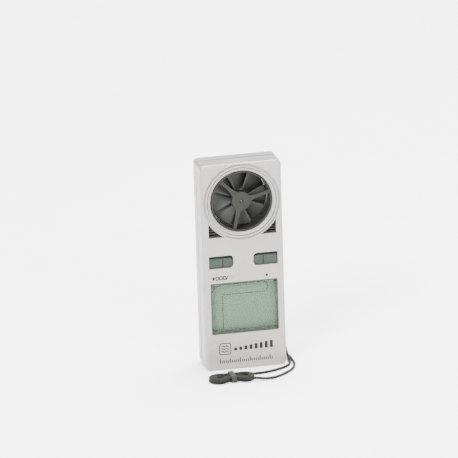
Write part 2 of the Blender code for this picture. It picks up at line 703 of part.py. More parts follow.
def blade_mesh(name, heading):
    """One screw-shaped blade of constant lead, from inside the hub to the tip."""
    mesh = bpy.data.meshes.new(name)
    shape = bmesh.new()
    radii = (ROTOR_HUB - BLADE_ROOT, (ROTOR_HUB + BLADE_TIP) / 2, BLADE_TIP)
    sheets = []
    for side in (-0.5, 0.5):
        sheet = []
        for radius in radii:
            lean = BLADE_DEPTH / (radius * radians(BLADE_SPAN))     # axial rise per length round
            rise = side * BLADE_THICKNESS * sqrt(1 + lean * lean)
            row = []
            for turn in range(BLADE_TURNS + 1):
                share = turn / BLADE_TURNS - 0.5
                angle = heading + radians(BLADE_SPAN) * share
                height = BLADE_DEPTH * share + rise
                row.append(shape.verts.new(Vector((radius * cos(angle), radius * sin(angle),
                                                   height)) * MM))
            sheet.append(row)
        sheets.append(sheet)
    lower, upper = sheets
    last = len(radii) - 1
    for index in range(last):
        for turn in range(BLADE_TURNS):
            for sheet in sheets:
                shape.faces.new((sheet[index][turn], sheet[index + 1][turn],
                                 sheet[index + 1][turn + 1], sheet[index][turn + 1]))
    for index in (0, last):
        for turn in range(BLADE_TURNS):
            shape.faces.new((lower[index][turn], lower[index][turn + 1],
                             upper[index][turn + 1], upper[index][turn]))
    for turn in (0, BLADE_TURNS):
        for index in range(last):
            shape.faces.new((lower[index][turn], lower[index + 1][turn],
                             upper[index + 1][turn], upper[index][turn]))
    bmesh.ops.recalc_face_normals(shape, faces=shape.faces)
    shape.to_mesh(mesh)
    shape.free()
    return mesh


def make_impeller(materials, parts, guides):
    centre = (0, DUCT_Z)
    front, back = ROTOR_HUB_Y
    hub = [(ROTOR_BORE, front), (ROTOR_HUB - 1.2, front), (ROTOR_HUB, front + 1.0),
           (ROTOR_HUB, back), (MAGNET_POCKET, back), (MAGNET_POCKET, MAGNET_Y[0] - GAP),
           (ROTOR_BORE, MAGNET_Y[0] - GAP)]
    impeller = turned("impeller", hub, centre, materials["rotor"], parts, 32, closed=True)
    bore = rod("rotor_bore_guide", ROTOR_BORE, (front - PAST, back + PAST), centre, None,
               guides, 32)
    pocket = rod("magnet_pocket_guide", MAGNET_POCKET, (MAGNET_Y[0] - GAP, back + PAST), centre,
                 None, guides, 32)
    for index in range(BLADE_COUNT):
        heading = 2 * pi * (index + BLADE_START) / BLADE_COUNT
        name = f"blade_{index}_guide"
        blade = place(name, blade_mesh(name, heading), None, guides, (0, 0, DUCT_Z),
                      (radians(90), 0, 0))
        boolean(impeller, blade, "UNION")
    boolean(impeller, bore)
    boolean(impeller, pocket)
    shaft = [(0, -PIVOT_Y), (PIVOT_RADIUS, -PIVOT_Y + 0.2), (PIVOT_RADIUS, -SHAFT_Y),
             (SHAFT_RADIUS, -SHAFT_Y), (SHAFT_RADIUS, SHAFT_Y), (PIVOT_RADIUS, SHAFT_Y),
             (PIVOT_RADIUS, PIVOT_Y - 0.2), (0, PIVOT_Y)]
    turned("impeller_shaft", shaft, centre, materials["steel"], parts, 16)
    ring("rotor_magnet", *MAGNET, MAGNET_Y, centre, materials["magnet"], parts, 24)


# ---------------------------------------------------------------- vents, buttons and switches

def make_vent_grilles(materials, parts, guides):
    through = (GRILLE_Y[0] - PAST, GRILLE_Y[1] + PAST)
    for side, word in ((-1, "left"), (1, "right")):
        x_limits = sided(side, GRILLE_INNER_X, VENT_OUTER_X + GRILLE_MARGIN)
        z_limits = (VENT_BOTTOM - GRILLE_MARGIN, GRILLE_TOP)
        grille = block(f"vent_grille_{word}", x_limits, GRILLE_Y, z_limits, materials["dark"],
                       parts)
        boolean(grille, rod(f"grille_{word}_duct_guide", DUCT_WALL + GAP, through, (0, DUCT_Z),
                            None, guides, DUCT_STEPS))
        for row in range(LOUVRE_COUNT):
            low = LOUVRE_BOTTOM + LOUVRE_PITCH * row
            x_slot = sided(side, LOUVRE_INNER_X + LOUVRE_STEP_X * row, LOUVRE_OUTER_X)
            boolean(grille, block(f"louvre_{word}_{row}_guide", x_slot, through,
                                  (low, low + LOUVRE_HEIGHT), None, guides))


def make_thermistor(materials, parts):
    front, back = BEAD_Y
    bead = [(0, front), (BEAD_RADIUS * 0.6, front + 0.2), (BEAD_RADIUS, front + 0.8),
            (BEAD_RADIUS * 0.8, back - 0.7), (BEAD_LEAD, back - 0.3), (BEAD_LEAD, back), (0, back)]
    turned("thermistor", bead, BEAD_PLACE, materials["chip"], parts, 16)


def make_buttons(materials, parts, guides):
    for side, word in ((-1, "left"), (1, "right")):
        cap = prism(f"button_{word}", [slot_outline(side, SLOT_GAP)], "XZ", BUTTON_Y,
                    materials["button"], parts)
        flange_x = sided(side, SLOT_X[0] - FLANGE_MARGIN, SLOT_X[1] + FLANGE_OUTER)
        flange_z = (BUTTON_Z - SLOT_HALF - FLANGE_MARGIN, BUTTON_Z + SLOT_HALF + FLANGE_MARGIN)
        flange = block(f"flange_{word}_guide", flange_x, FLANGE_Y, flange_z, None, guides)
        boolean(cap, flange, "UNION")
        stem = rod(f"stem_{word}_guide", STEM_RADIUS, (FLANGE_Y[0] + 0.3, STEM_END_Y),
                   (side * STEM_X, BUTTON_Z), None, guides, 16)
        boolean(cap, stem, "UNION")
        groove_x = (side * BUTTON_GROOVE_X - BUTTON_GROOVE / 2,
                    side * BUTTON_GROOVE_X + BUTTON_GROOVE / 2)
        groove = block(f"groove_{word}_guide", groove_x,
                       (BUTTON_Y[0] - 1, BUTTON_Y[0] + BUTTON_GROOVE_DEPTH),
                       (BUTTON_Z - SLOT_HALF - PAST, BUTTON_Z + SLOT_HALF + PAST), None, guides)
        boolean(cap, groove)


def make_switches(materials, parts, guides):
    for side, word in ((-1, "left"), (1, "right")):
        centre_x = side * STEM_X
        housing = block(f"switch_housing_{word}", (centre_x - SWITCH_HALF, centre_x + SWITCH_HALF),
                        SWITCH_Y, (BUTTON_Z - SWITCH_HALF, BUTTON_Z + SWITCH_HALF),
                        materials["chip"], parts)
        hole = rod(f"switch_hole_{word}_guide", SWITCH_HOLE,
                   (SWITCH_Y[0] - PAST, SWITCH_HOLE_END_Y), (centre_x, BUTTON_Z), None, guides, 20)
        boolean(housing, hole)
        rod(f"switch_plunger_{word}", PLUNGER_RADIUS, PLUNGER_Y, (centre_x, BUTTON_Z),
            materials["white"], parts, 16)


# ---------------------------------------------------------------- display and circuit

def make_display(materials, parts, guides):
    lens_x = LENS_POCKET_X - LENS_GAP
    lens_z = (LENS_POCKET_Z[0] + LENS_GAP, LENS_POCKET_Z[1] - LENS_GAP)
    window = block("display_window", (-lens_x, lens_x), LENS_Y, lens_z, materials["lens"], parts)
    face_x = WINDOW_X - LENS_GAP
    face = rounded_outline((-face_x, face_x), (WINDOW_Z[0] + LENS_GAP, WINDOW_Z[1] - LENS_GAP),
                           (WINDOW_ROUND,) * 4)
    raised = prism("window_face_guide", [face], "XZ", (LENS_FACE_Y, LENS_Y[0] + 0.4), None, guides)
    boolean(window, raised, "UNION")
    outer = rounded_outline((-GLASS_X, GLASS_X), GLASS_Z, (0.4,) * 4, 2)
    inner = rounded_outline((-FRAME_INNER_X, FRAME_INNER_X), FRAME_INNER_Z, (0.4,) * 4, 2)
    prism("display_frame", [outer, inner], "XZ", FRAME_Y, materials["seal"], parts)
    block("display_glass", (-GLASS_X, GLASS_X), GLASS_Y, GLASS_Z, materials["display"], parts)
    holder = block("display_holder", (-HOLDER_X, HOLDER_X), HOLDER_Y, HOLDER_Z,
                   materials["white"], parts)
    through = (HOLDER_Y[0] - PAST, HOLDER_Y[1] + PAST)
    opening = block("backlight_opening_guide", (-BACKLIGHT_X - GAP, BACKLIGHT_X + GAP), through,
                    (BACKLIGHT_Z[0] - GAP, BACKLIGHT_Z[1] + GAP), None, guides)
    boolean(holder, opening)
    block("backlight_panel", (-BACKLIGHT_X, BACKLIGHT_X), BACKLIGHT_Y, BACKLIGHT_Z,
          materials["backlight"], parts)
    for word, strip_z in zip(("lower", "upper"), STRIP_Z):
        opening = block(f"strip_{word}_guide", (-STRIP_X - GAP, STRIP_X + GAP), through,
                        (strip_z[0] - GAP, strip_z[1] + GAP), None, guides)
        boolean(holder, opening)
        block(f"contact_strip_{word}", (-STRIP_X, STRIP_X), HOLDER_Y, strip_z,
              materials["seal"], parts)


def make_board(materials, parts, guides):
    board = block("circuit_board", (-BOARD_X, BOARD_X), BOARD_Y, BOARD_Z, materials["board"],
                  parts)
    for name, place_xz in zip(SCREW_NAMES[2:], SCREW_PLACES[2:]):
        boolean(board, rod(f"board_notch_{name}_guide", BOSS_RADIUS + GAP,
                           (BOARD_Y[0] - PAST, BOARD_Y[1] + PAST), place_xz, None, guides, 24))
    blob = [(CHIP_RADIUS * across, PARTS_Y + CHIP_HEIGHT * up)
            for across, up in ((0, 0), (1, 0), (0.97, 0.35), (0.75, 0.75), (0.4, 0.95), (0, 1))]
    turned("processor", blob, CHIP_PLACE, materials["chip"], parts, 24)
    block("rotation_sensor", *SENSOR, materials["chip"], parts, 0.2)
    block("timing_crystal", *CRYSTAL, materials["steel"], parts, 0.5)
    rod("smoothing_capacitor", CAPACITOR_RADIUS, (PARTS_Y, PARTS_Y + CAPACITOR_HEIGHT),
        CAPACITOR_PLACE, materials["chip"], parts, 24)


# ---------------------------------------------------------------- battery

def make_battery(materials, parts, guides):
    centre = (0, CELL_Z)
    front, back = CELL_Y
    cell = [(0, front), (CELL_CAP - 0.2, front), (CELL_CAP, front + CELL_STEP),
            (CELL_CAP + 0.8, front + CELL_STEP), (CELL_RADIUS, front + 0.8),
            (CELL_RADIUS, back - 0.3), (CELL_RADIUS - 0.3, back), (0, back)]
    turned("coin_cell", cell, centre, materials["steel"], parts, 40)
    strip_y = (PARTS_Y, PARTS_Y + CONTACT_THICKNESS)
    leaf = block("battery_contact_negative", (-LEAF_HALF, LEAF_HALF), strip_y,
                 (CELL_Z - LEAF_REACH, CELL_Z + LEAF_REACH), materials["brass"], parts)
    dimple = rod("dimple_guide", DIMPLE_RADIUS, (PARTS_Y + 0.1, front - GAP), centre, None,
                 guides, 16)
    boolean(leaf, dimple, "UNION")
    tab_x = CELL_RADIUS + 0.25
    tab_z = (CELL_Z - TAB_HALF, CELL_Z + TAB_HALF)
    tab = block("battery_contact_positive", (tab_x, tab_x + CONTACT_THICKNESS),
                (PARTS_Y, back - 0.2), tab_z, materials["brass"], parts)
    foot = block("contact_foot_guide", (tab_x, tab_x + TAB_FOOT), strip_y, tab_z, None, guides)
    boolean(tab, foot, "UNION")


def make_battery_cover(materials, parts, guides):
    centre = (0, CELL_Z)
    profile = [(0, PLUG_Y), (PLUG_RADIUS - 0.3, PLUG_Y), (PLUG_RADIUS, PLUG_Y + 0.3),
               (PLUG_RADIUS, COVER_PLATE_Y), (COVER_RADIUS, COVER_PLATE_Y),
               (COVER_RADIUS, BACK_Y - 0.3), (COVER_RADIUS - 0.3, BACK_Y), (0, BACK_Y)]
    cover = turned("battery_cover", profile, centre, materials["case"], parts, WELL_STEPS)
    length, width, depth = COIN_SLOT
    slot = block("coin_slot_guide", (-length / 2, length / 2), (BACK_Y - depth, BACK_Y + PAST),
                 (CELL_Z - width / 2, CELL_Z + width / 2), None, guides)
    boolean(cover, slot)
    section = circle_points((ORING_MAJOR, ORING_Y), ORING_MINOR, ORING_SIDES)
    turned("cover_seal", section, centre, materials["seal"], parts, 36, closed=True)


# ---------------------------------------------------------------- lanyard

def smooth_route(points, step):
    """Points every step along a Catmull-Rom curve through the given points."""
    knots = [Vector(point) for point in points]
    knots = [2 * knots[0] - knots[1]] + knots + [2 * knots[-1] - knots[-2]]
    fine = []
    for before, start, end, after in zip(knots, knots[1:], knots[2:], knots[3:]):
        for index in range(24):
            t = index / 24
            fine.append(0.5 * (2 * start + (end - before) * t
                               + (2 * before - 5 * start + 4 * end - after) * t * t
                               + (3 * start - before - 3 * end + after) * t ** 3))
    fine.append(knots[-2])
    for point in fine:
        point.z = max(point.z, CORD_RADIUS + 0.01)
    total = sum((b - a).length for a, b in zip(fine, fine[1:]))
    count = round(total / step)
    picked = [fine[0]]
    travelled = 0.0
    for a, b in zip(fine, fine[1:]):
        travelled += (b - a).length
        if travelled >= total * len(picked) / count - 1e-9:
            picked.append(b)
    return picked


def make_lanyard(materials, parts, guides):
    points = smooth_route(CORD_ROUTE, CORD_STEP)
    curve = bpy.data.curves.new("lanyard_cord", "CURVE")
    curve.dimensions = "3D"
    curve.bevel_depth = CORD_RADIUS * MM
    curve.bevel_resolution = 2
    curve.use_fill_caps = True
    spline = curve.splines.new("POLY")
    spline.points.add(len(points) - 1)
    for point, place_at in zip(spline.points, points):
        point.co = (*(place_at * MM), 1.0)
    cord = bpy.data.objects.new("lanyard_cord", curve)
    bpy.context.scene.collection.objects.link(cord)
    cord = curve_to_mesh(cord, parts, materials["cord"])
    cord.data.shade_smooth()

    end_round = (HANK_Y[1] - HANK_Y[0]) / 2 - 0.01
    outline = rounded_outline(HANK_X, HANK_Y, (end_round,) * 4, 8)
    hank = prism("lanyard_hank", [outline], "XY", HANK_Z, materials["cord"], parts)
    collar = block("waist_guide", (TIE_X[0] - GAP, TIE_X[1] + GAP), (HANK_Y[0] - 1, HANK_Y[1] + 1),
                   (HANK_Z[0] - 1, HANK_Z[1] + 1), None, guides)
    core = block("waist_core_guide", (TIE_X[0] - 2, TIE_X[1] + 2),
                 (TIE_Y[0] + GAP, TIE_Y[1] - GAP), (TIE_Z[0] + GAP, TIE_Z[1] - GAP), None, guides)
    boolean(collar, core)
    boolean(hank, collar)
    loops = [rounded_outline((TIE_Y[0] - grow, TIE_Y[1] + grow), (TIE_Z[0] - grow, TIE_Z[1] + grow),
                             (0.6 + grow,) * 4) for grow in (TIE_THICKNESS, 0.0)]
    prism("lanyard_tie", loops, "YZ", TIE_X, materials["cord"], parts)


def main():
    clear_scene()
    parts = new_collection("handheld_weather_meter")
    guides = new_collection("guides")
    materials = make_materials()
    make_front_shell(materials, parts, guides)
    make_rear_shell(materials, parts, guides)
    make_seals(materials, parts)
    make_screws(materials, parts, guides)
    make_cartridge_frame(materials, parts, guides)
    make_rear_spider(materials, parts, guides)
    make_bearings(materials, parts)
    make_impeller(materials, parts, guides)
    make_vent_grilles(materials, parts, guides)
    make_thermistor(materials, parts)
    make_buttons(materials, parts, guides)
    make_switches(materials, parts, guides)
    make_display(materials, parts, guides)
    make_board(materials, parts, guides)
    make_battery(materials, parts, guides)
    make_battery_cover(materials, parts, guides)
    make_lanyard(materials, parts, guides)


main()
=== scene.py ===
"""Handheld weather meter standing on a pale floor under soft light.

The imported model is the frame.  Pieces are drawn in millimetres in the model's own frame: X across,
-Y out of the display face, Z up towards the impeller.  Each one rides on a body of the frame.
"""
import bpy
import bmesh
from math import acos, asin, ceil, cos, pi, radians, sin, sqrt
from mathutils import Matrix, Vector


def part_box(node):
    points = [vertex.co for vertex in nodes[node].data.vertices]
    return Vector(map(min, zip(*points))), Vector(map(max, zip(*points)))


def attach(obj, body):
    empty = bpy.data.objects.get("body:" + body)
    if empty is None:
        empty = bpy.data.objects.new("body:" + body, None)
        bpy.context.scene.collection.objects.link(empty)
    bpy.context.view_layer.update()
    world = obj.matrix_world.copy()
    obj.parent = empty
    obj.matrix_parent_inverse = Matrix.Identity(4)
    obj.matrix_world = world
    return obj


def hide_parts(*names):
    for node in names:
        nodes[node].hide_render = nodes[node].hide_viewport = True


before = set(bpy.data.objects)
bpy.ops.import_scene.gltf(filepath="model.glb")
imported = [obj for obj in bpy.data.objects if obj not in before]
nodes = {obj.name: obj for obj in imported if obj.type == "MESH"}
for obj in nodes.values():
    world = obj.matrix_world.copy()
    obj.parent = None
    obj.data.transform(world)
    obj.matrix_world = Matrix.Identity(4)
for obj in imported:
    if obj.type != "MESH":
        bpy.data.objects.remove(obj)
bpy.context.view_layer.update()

MM = 0.001


def span(node):
    """Limits of a frame node on X, Y and Z, in millimetres."""
    low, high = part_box(node)
    return [(low[axis] / MM, high[axis] / MM) for axis in range(3)]


def middle(limits):
    return (limits[0] + limits[1]) / 2


# ---------------------------------------------------------------- dimensions

FRONT = span("front_shell")
REAR = span("rear_shell")
HALF_WIDTH = FRONT[0][1]
CASE_TOP = FRONT[2][1]
RING_Y = FRONT[1][0]
FACE_Y = RING_Y + 0.3
BACK_Y = REAR[1][1]
SPLIT_FRONT = FRONT[1][1]
SPLIT_BACK = REAR[1][0]
WALL = 1.8
FRONT_WALL = 1.5
INNER_X = HALF_WIDTH - WALL
INNER_TOP = CASE_TOP - WALL
INNER_FRONT_Y = FACE_Y + FRONT_WALL
INNER_BACK_Y = BACK_Y - WALL
PAST_CASE = 9.0                # further from the case's middle plane than either of its faces
PAST_BACK = BACK_Y + 1
AROUND_X = (-20, 20)
AROUND_Z = (-2, 90)
POST_RADIUS = 2.2
EYELET = (16.2, 6.8, 6.5)
EYELET_MAJOR = 3.8
EYELET_MINOR = 1.25
GRIP_GROOVES = (10.2, 8.5)

# The impeller's duct and its cartridge; places are (x, z)
DUCT = (0.0, middle(span("rotor_magnet")[2]))
DUCT_BORE = 13.0
DUCT_WALL = 15.4
RING_OUTER = 16.2
ROTOR = span("impeller")
ROTOR_HUB = 3.0
BLADE_TIP = ROTOR[0][1] + 0.08
BLADE_COUNT = 8
BLADE_DEPTH = 4.6
BLADE_SPREAD = radians(70.0)
BLADE_THICKNESS = 0.5
BLADE_START = -0.2             # share of one blade's pitch
ROTOR_HALF = 3.4
TUBE = span("cartridge_frame")
TUBE_OUTER = TUBE[0][1]
TUBE_INNER = TUBE_OUTER - 0.65
SPIDER = span("rear_spider")
FRONT_HUB = 4.1
REAR_HUB = 4.4
ARM_ANGLES = (14.0, 132.0, 254.0)
REAR_ARM_ANGLES = (70.0, 190.0, 310.0)
FRONT_BEARING = span("front_bearing")
REAR_BEARING = span("rear_bearing")
BEARING_RADIUS = 0.9
SHAFT_RADIUS = 0.6
PIVOT_RADIUS = 0.4

# Buttons and display
BUTTON = span("button_right")
BUTTON_Z = middle(BUTTON[2])
SLOT_X = (4.2, 14.45)
SLOT_HALF = 2.7
SLOT_ROUND = 1.6
GROOVE_X = 8.5
STEM_X = 9.4

WINDOW = span("display_window")
WINDOW_X = 14.15
WINDOW_Z = (15.4, 37.5)
POCKET_X = (-15, 15)
POCKET_Z = (14.5, 38.4)
FRAME_OPENING = ((-14.15, 14.15), (16.2, 37.4))
GLASS = span("display_glass")

# Battery, its cover and the case screws
COVER = span("battery_cover")
CELL = (0.0, middle(COVER[2]))
COVER_RADIUS = COVER[0][1]
WELL_BORE = 11.0
WELL_WALL = 14.2
COVER_BORE = 12.8
CELL_RADIUS = 10.0
SEAL_MAJOR = 11.9
SEAL_MINOR = 0.4
SEAL_Y = 5.75
TURN_ARROWS = (25, 205)
INDEX_RADIUS = 14.6
ENGRAVED = (BACK_Y - 0.2, PAST_BACK)

SCREWS = ("top_left", "top_right", "base_left", "base_right")
SCREW_SPANS = [span(f"case_screw_{name}") for name in SCREWS]
SCREW_PLACES = [(middle(limits[0]), middle(limits[2])) for limits in SCREW_SPANS]
SHANK_RADIUS = 0.85
HEAD_RADIUS = 1.5
PILOT_BORE = 1.15
HEAD_BORE = 1.8

# Marks on the front
MARK_Y = (FACE_Y - 0.03, FACE_Y + 0.05)
LAMP = (-5.4, 39.8)
POWER_DOT = (9.6, 39.3)
BAR_COUNT = 8
BAR_PITCH = 2.15
TICK_COUNT = 27
TICK_PITCH = 0.84
MODE_COUNT = 4
MODE_PITCH = 1.55


# ---------------------------------------------------------------- mesh helpers, in millimetres

def new_object(name, shape):
    """An object from a bmesh, linked to the scene."""
    mesh = bpy.data.meshes.new(name)
    bmesh.ops.recalc_face_normals(shape, faces=shape.faces)
    shape.to_mesh(mesh)
    shape.free()
    obj = bpy.data.objects.new(name, mesh)
    bpy.context.scene.collection.objects.link(obj)
    return obj


def settle(obj):
    """Swap an object's mesh for the outcome of its modifiers."""
    bpy.context.view_layer.update()
    graph = bpy.context.evaluated_depsgraph_get()
    mesh = bpy.data.meshes.new_from_object(obj.evaluated_get(graph))
    obj.modifiers.clear()
    old = obj.data
    obj.data = mesh
    bpy.data.meshes.remove(old)
    return obj


def join(obj, others):
    """Add other objects' meshes to an object's mesh and remove those objects."""
    shape = bmesh.new()
    shape.from_mesh(obj.data)
    for other in others:
        shape.from_mesh(other.data)
        remove(other)
    shape.to_mesh(obj.data)
    shape.free()
    return obj


def remove(obj):
    mesh = obj.data
    bpy.data.objects.remove(obj, do_unlink=True)
    bpy.data.meshes.remove(mesh)


def carve(obj, cuts=(), adds=()):
    """Cut tools out of an object, then add others to it."""
    for operation, tools in (("DIFFERENCE", cuts), ("UNION", adds)):
        for tool in tools:
            modifier = obj.modifiers.new(tool.name, "BOOLEAN")
            modifier.operation = operation
            modifier.solver = "EXACT"
            modifier.object = tool
    settle(obj)
    for tool in (*cuts, *adds):
        remove(tool)
    return obj


def round_over(obj, width, segments=2, angle=35.0):
    """Round every edge sharper than the given angle."""
    modifier = obj.modifiers.new("round_over", "BEVEL")
    modifier.width = width
    modifier.segments = segments
    modifier.limit_method = "ANGLE"
    modifier.angle_limit = radians(angle)
    modifier.miter_outer = "MITER_ARC"
    return settle(obj)


def block(name, x, y, z):
    shape = bmesh.new()
    bmesh.ops.create_cube(shape, size=1.0)
    bmesh.ops.scale(shape, vec=(x[1] - x[0], y[1] - y[0], z[1] - z[0]), verts=shape.verts)
    bmesh.ops.translate(shape, vec=(middle(x), middle(y), middle(z)), verts=shape.verts)
    return new_object(name, shape)


def softened(points, radius, closed=False, steps=4):
    """The line through the points with its corners rounded."""
    count = len(points)
    rounded = []
    for index, point in enumerate(points):
        if not closed and index in (0, count - 1):
            rounded.append(tuple(point))
            continue
        corner = Vector(point)
        before = Vector(points[index - 1]) - corner
        after = Vector(points[(index + 1) % count]) - corner
        reach = min(radius, before.length * 0.45, after.length * 0.45)
        start = corner + before.normalized() * reach
        end = corner + after.normalized() * reach
        for step in range(steps + 1):
            t = step / steps
            rounded.append(tuple(start * (1 - t) ** 2 + corner * 2 * t * (1 - t) + end * t * t))
    return rounded


def lathe(name, profile, centre, steps=96, closed=False):
    """A solid turned about the line along Y through centre, from (radius, y) pairs."""
    shape = bmesh.new()
    rings = []
    for radius, y in profile:
        if radius < 1e-6:
            rings.append([shape.verts.new((centre[0], y, centre[1]))])
            continue
        rings.append([shape.verts.new((centre[0] + radius * cos(2 * pi * step / steps), y,
                                       centre[1] + radius * sin(2 * pi * step / steps)))
                      for step in range(steps)])
    pairs = list(zip(rings, rings[1:]))
    if closed:
        pairs.append((rings[-1], rings[0]))
    for first, second in pairs:
        for step in range(steps):
            after = (step + 1) % steps
            corners = [first[step % len(first)], first[after % len(first)],
                       second[after % len(second)], second[step % len(second)]]
            face = list(dict.fromkeys(corners))
            if len(face) > 2:
                shape.faces.new(face)
    for end in (rings[0], rings[-1]):
        if not closed and len(end) > 1:
            shape.faces.new(end)
    return new_object(name, shape)


def rod(name, radius, y, centre, steps=96):
    return lathe(name, [(0, y[0]), (radius, y[0]), (radius, y[1]), (0, y[1])], centre, steps)


def slab(name, outline, limits, axis="Y"):
    """A flat outline given thickness along an axis."""
    put = {"Y": lambda a, b, c: (a, c, b), "Z": lambda a, b, c: (a, b, c),
           "X": lambda a, b, c: (c, a, b)}[axis]
    shape = bmesh.new()
    lower = [shape.verts.new(put(a, b, limits[0])) for a, b in outline]
    upper = [shape.verts.new(put(a, b, limits[1])) for a, b in outline]
    shape.faces.new(lower)
    shape.faces.new(upper[::-1])
    for index in range(len(outline)):
        after = (index + 1) % len(outline)
        shape.faces.new((lower[index], lower[after], upper[after], upper[index]))
    return new_object(name, shape)


def arc(centre, radius, start, end, count):
    """Points on an arc, angles in degrees, both ends included."""
    angles = [radians(start + (end - start) * index / count) for index in range(count + 1)]
    return [(centre[0] + radius * cos(a), centre[1] + radius * sin(a)) for a in angles]


def circle(centre, radius, count):
    turns = [2 * pi * step / count for step in range(count)]
    return [(centre[0] + radius * cos(a), centre[1] + radius * sin(a)) for a in turns]


def rectangle(x, z, radii, count=8):
    """A rectangle with one radius per corner: low x low z, then anticlockwise."""
    if isinstance(radii, (int, float)):
        radii = (radii,) * 4
    corners = ((x[0] + radii[0], z[0] + radii[0], 180), (x[1] - radii[1], z[0] + radii[1], 270),
               (x[1] - radii[2], z[1] - radii[2], 0), (x[0] + radii[3], z[1] - radii[3], 90))
    points = []
    for (a, b, start), radius in zip(corners, radii):
        points += arc((a, b), radius, start, start + 90, count)
    return points


def mirrored(points, side):
    """The outline itself on the right, or its mirror image on the left."""
    if side > 0:
        return points
    return [(-first, second) for first, second in reversed(points)]


def ribbon(points, half, closed=False):
    """A thin band's outline along a flat line; a closed line gives outer and inner loops."""
    left = []
    right = []
    count = len(points)
    for index, point in enumerate(points):
        before = points[index - 1] if closed or index else point
        after = points[(index + 1) % count] if closed or index < count - 1 else point
        along = (Vector(after) - Vector(before)).normalized()
        across = Vector((-along.y, along.x)) * half
        left.append(tuple(Vector(point) + across))
        right.append(tuple(Vector(point) - across))
    return left, right


def strip(name, points, half, limits, closed=False):
    """A raised line of even width on a plane facing along Y."""
    left, right = ribbon(points, half, closed)
    shape = bmesh.new()
    rows = []
    for first, second in zip(left, right):
        rows.append([shape.verts.new((first[0], limits[0], first[1])),
                     shape.verts.new((second[0], limits[0], second[1])),
                     shape.verts.new((second[0], limits[1], second[1])),
                     shape.verts.new((first[0], limits[1], first[1]))])
    pairs = list(zip(rows, rows[1:]))
    if closed:
        pairs.append((rows[-1], rows[0]))
    for first, second in pairs:
        for side in range(4):
            after = (side + 1) % 4
            shape.faces.new((first[side], first[after], second[after], second[side]))
    if not closed:
        shape.faces.new(rows[0])
        shape.faces.new(rows[-1][::-1])
    return new_object(name, shape)


def finish_piece(obj, body, material, replaced=(), angle=35.0):
    """Scale a piece to metres, shade it, and set it on its body."""
    obj.data.transform(Matrix.Scale(MM, 4))
    obj.data.materials.clear()
    obj.data.materials.append(material)
    for polygon in obj.data.polygons:
        polygon.material_index = 0
    obj.data.shade_smooth()
    obj.data.set_sharp_from_angle(angle=radians(angle))
    weighted = obj.modifiers.new("even_normals", "WEIGHTED_NORMAL")
    weighted.keep_sharp = True
    weighted.weight = 80
    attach(obj, body)
    if replaced:
        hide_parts(*replaced)
    return obj


# ---------------------------------------------------------------- materials

class Nodes:
    """A few short calls for wiring one material's nodes."""

    def __init__(self, name):
        self.material = bpy.data.materials.new(name)
        self.material.use_nodes = True
        self.tree = self.material.node_tree
        self.shader = self.tree.nodes["Principled BSDF"]
        self.output = self.tree.nodes["Material Output"]
        self.place = self.add("ShaderNodeTexCoord").outputs["Object"]

    def put(self, socket, value):
        """Give a socket a link, a plain colour or a number."""
        if isinstance(value, bpy.types.NodeSocket):
            self.tree.links.new(value, socket)
        elif socket.type == "RGBA":
            socket.default_value = (*value, 1.0)
        else:
            socket.default_value = value

    def add(self, kind, sockets=(), **settings):
        """A new node with its settings, and its sockets filled by name or number."""
        node = self.tree.nodes.new(kind)
        for key, value in settings.items():
            setattr(node, key, value)
        for key, value in dict(sockets).items():
            self.put(node.inputs[key], value)
        return node

    def set(self, **sockets):
        """Fill the shader's own sockets, named with _ for each space."""
        for key, value in sockets.items():
            self.put(self.shader.inputs[key.replace("_", " ")], value)

    def noise(self, scale, detail=3.0, place=None):
        """Noise with the given number of features in a metre."""
        sockets = {"Scale": scale, "Detail": detail, "Roughness": 0.55,
                   "Vector": place or self.place}
        return self.add("ShaderNodeTexNoise", sockets).outputs["Fac"]

    def stretched(self, scale, place=None):
        """Coordinates stretched by a scale for each axis."""
        sockets = {"Scale": scale, "Vector": place or self.place}
        return self.add("ShaderNodeMapping", sockets).outputs["Vector"]

    def ranged(self, source, low, high, to_low, to_high):
        sockets = {"Value": source, "From Min": low, "From Max": high, "To Min": to_low,
                   "To Max": to_high}
        return self.add("ShaderNodeMapRange", sockets).outputs["Result"]

    def patches(self, scale, detail, low, high, to_low, to_high):
        """Noise cut off below one level and above another."""
        return self.ranged(self.noise(scale, detail), low, high, to_low, to_high)

    def roughen(self, pattern, low, high):
        """Roughness that wanders between two values with a pattern."""
        self.set(Roughness=self.ranged(pattern, 0.3, 0.7, low, high))

    def maths(self, operation, *values):
        node = self.add("ShaderNodeMath", enumerate(values), operation=operation)
        return node.outputs["Value"]

    def tint(self, source, stops):
        """Colours picked along a ramp; stops are (position, colour)."""
        node = self.add("ShaderNodeValToRGB", {"Fac": source})
        ramp = node.color_ramp
        while len(ramp.elements) < len(stops):
            ramp.elements.new(0.5)
        for element, (position, colour) in zip(ramp.elements, stops):
            element.position = position
            element.color = (*colour, 1.0)
        return node.outputs["Color"]

    def mixed(self, share, first, second):
        """Two colours mixed by a share; a mix node's colour sockets are numbers 6 and 7."""
        node = self.add("ShaderNodeMix", data_type="RGBA")
        for key, value in ((0, share), (6, first), (7, second)):
            self.put(node.inputs[key], value)
        return node.outputs[2]

    def edges(self, radius):
        """1 on edges and 0 on flats, from how far rounded normals turn from the true ones."""
        rounded = self.add("ShaderNodeBevel", {"Radius": radius}, samples=4)
        true = self.add("ShaderNodeNewGeometry")
        normals = enumerate((rounded.outputs["Normal"], true.outputs["Normal"]))
        product = self.add("ShaderNodeVectorMath", normals, operation="DOT_PRODUCT")
        return self.ranged(product.outputs["Value"], 0.99, 0.80, 0.0, 1.0)

    def bump(self, layers):
        """Bumps in a chain; layers are (height socket, depth in metres)."""
        below = {}
        for height, depth in layers:
            sockets = {"Strength": 1.0, "Distance": depth, "Height": height, **below}
            below = {"Normal": self.add("ShaderNodeBump", sockets).outputs["Normal"]}
        self.set(**below)


def shade(colour, factor):
    return tuple(min(1.0, channel * factor) for channel in colour)


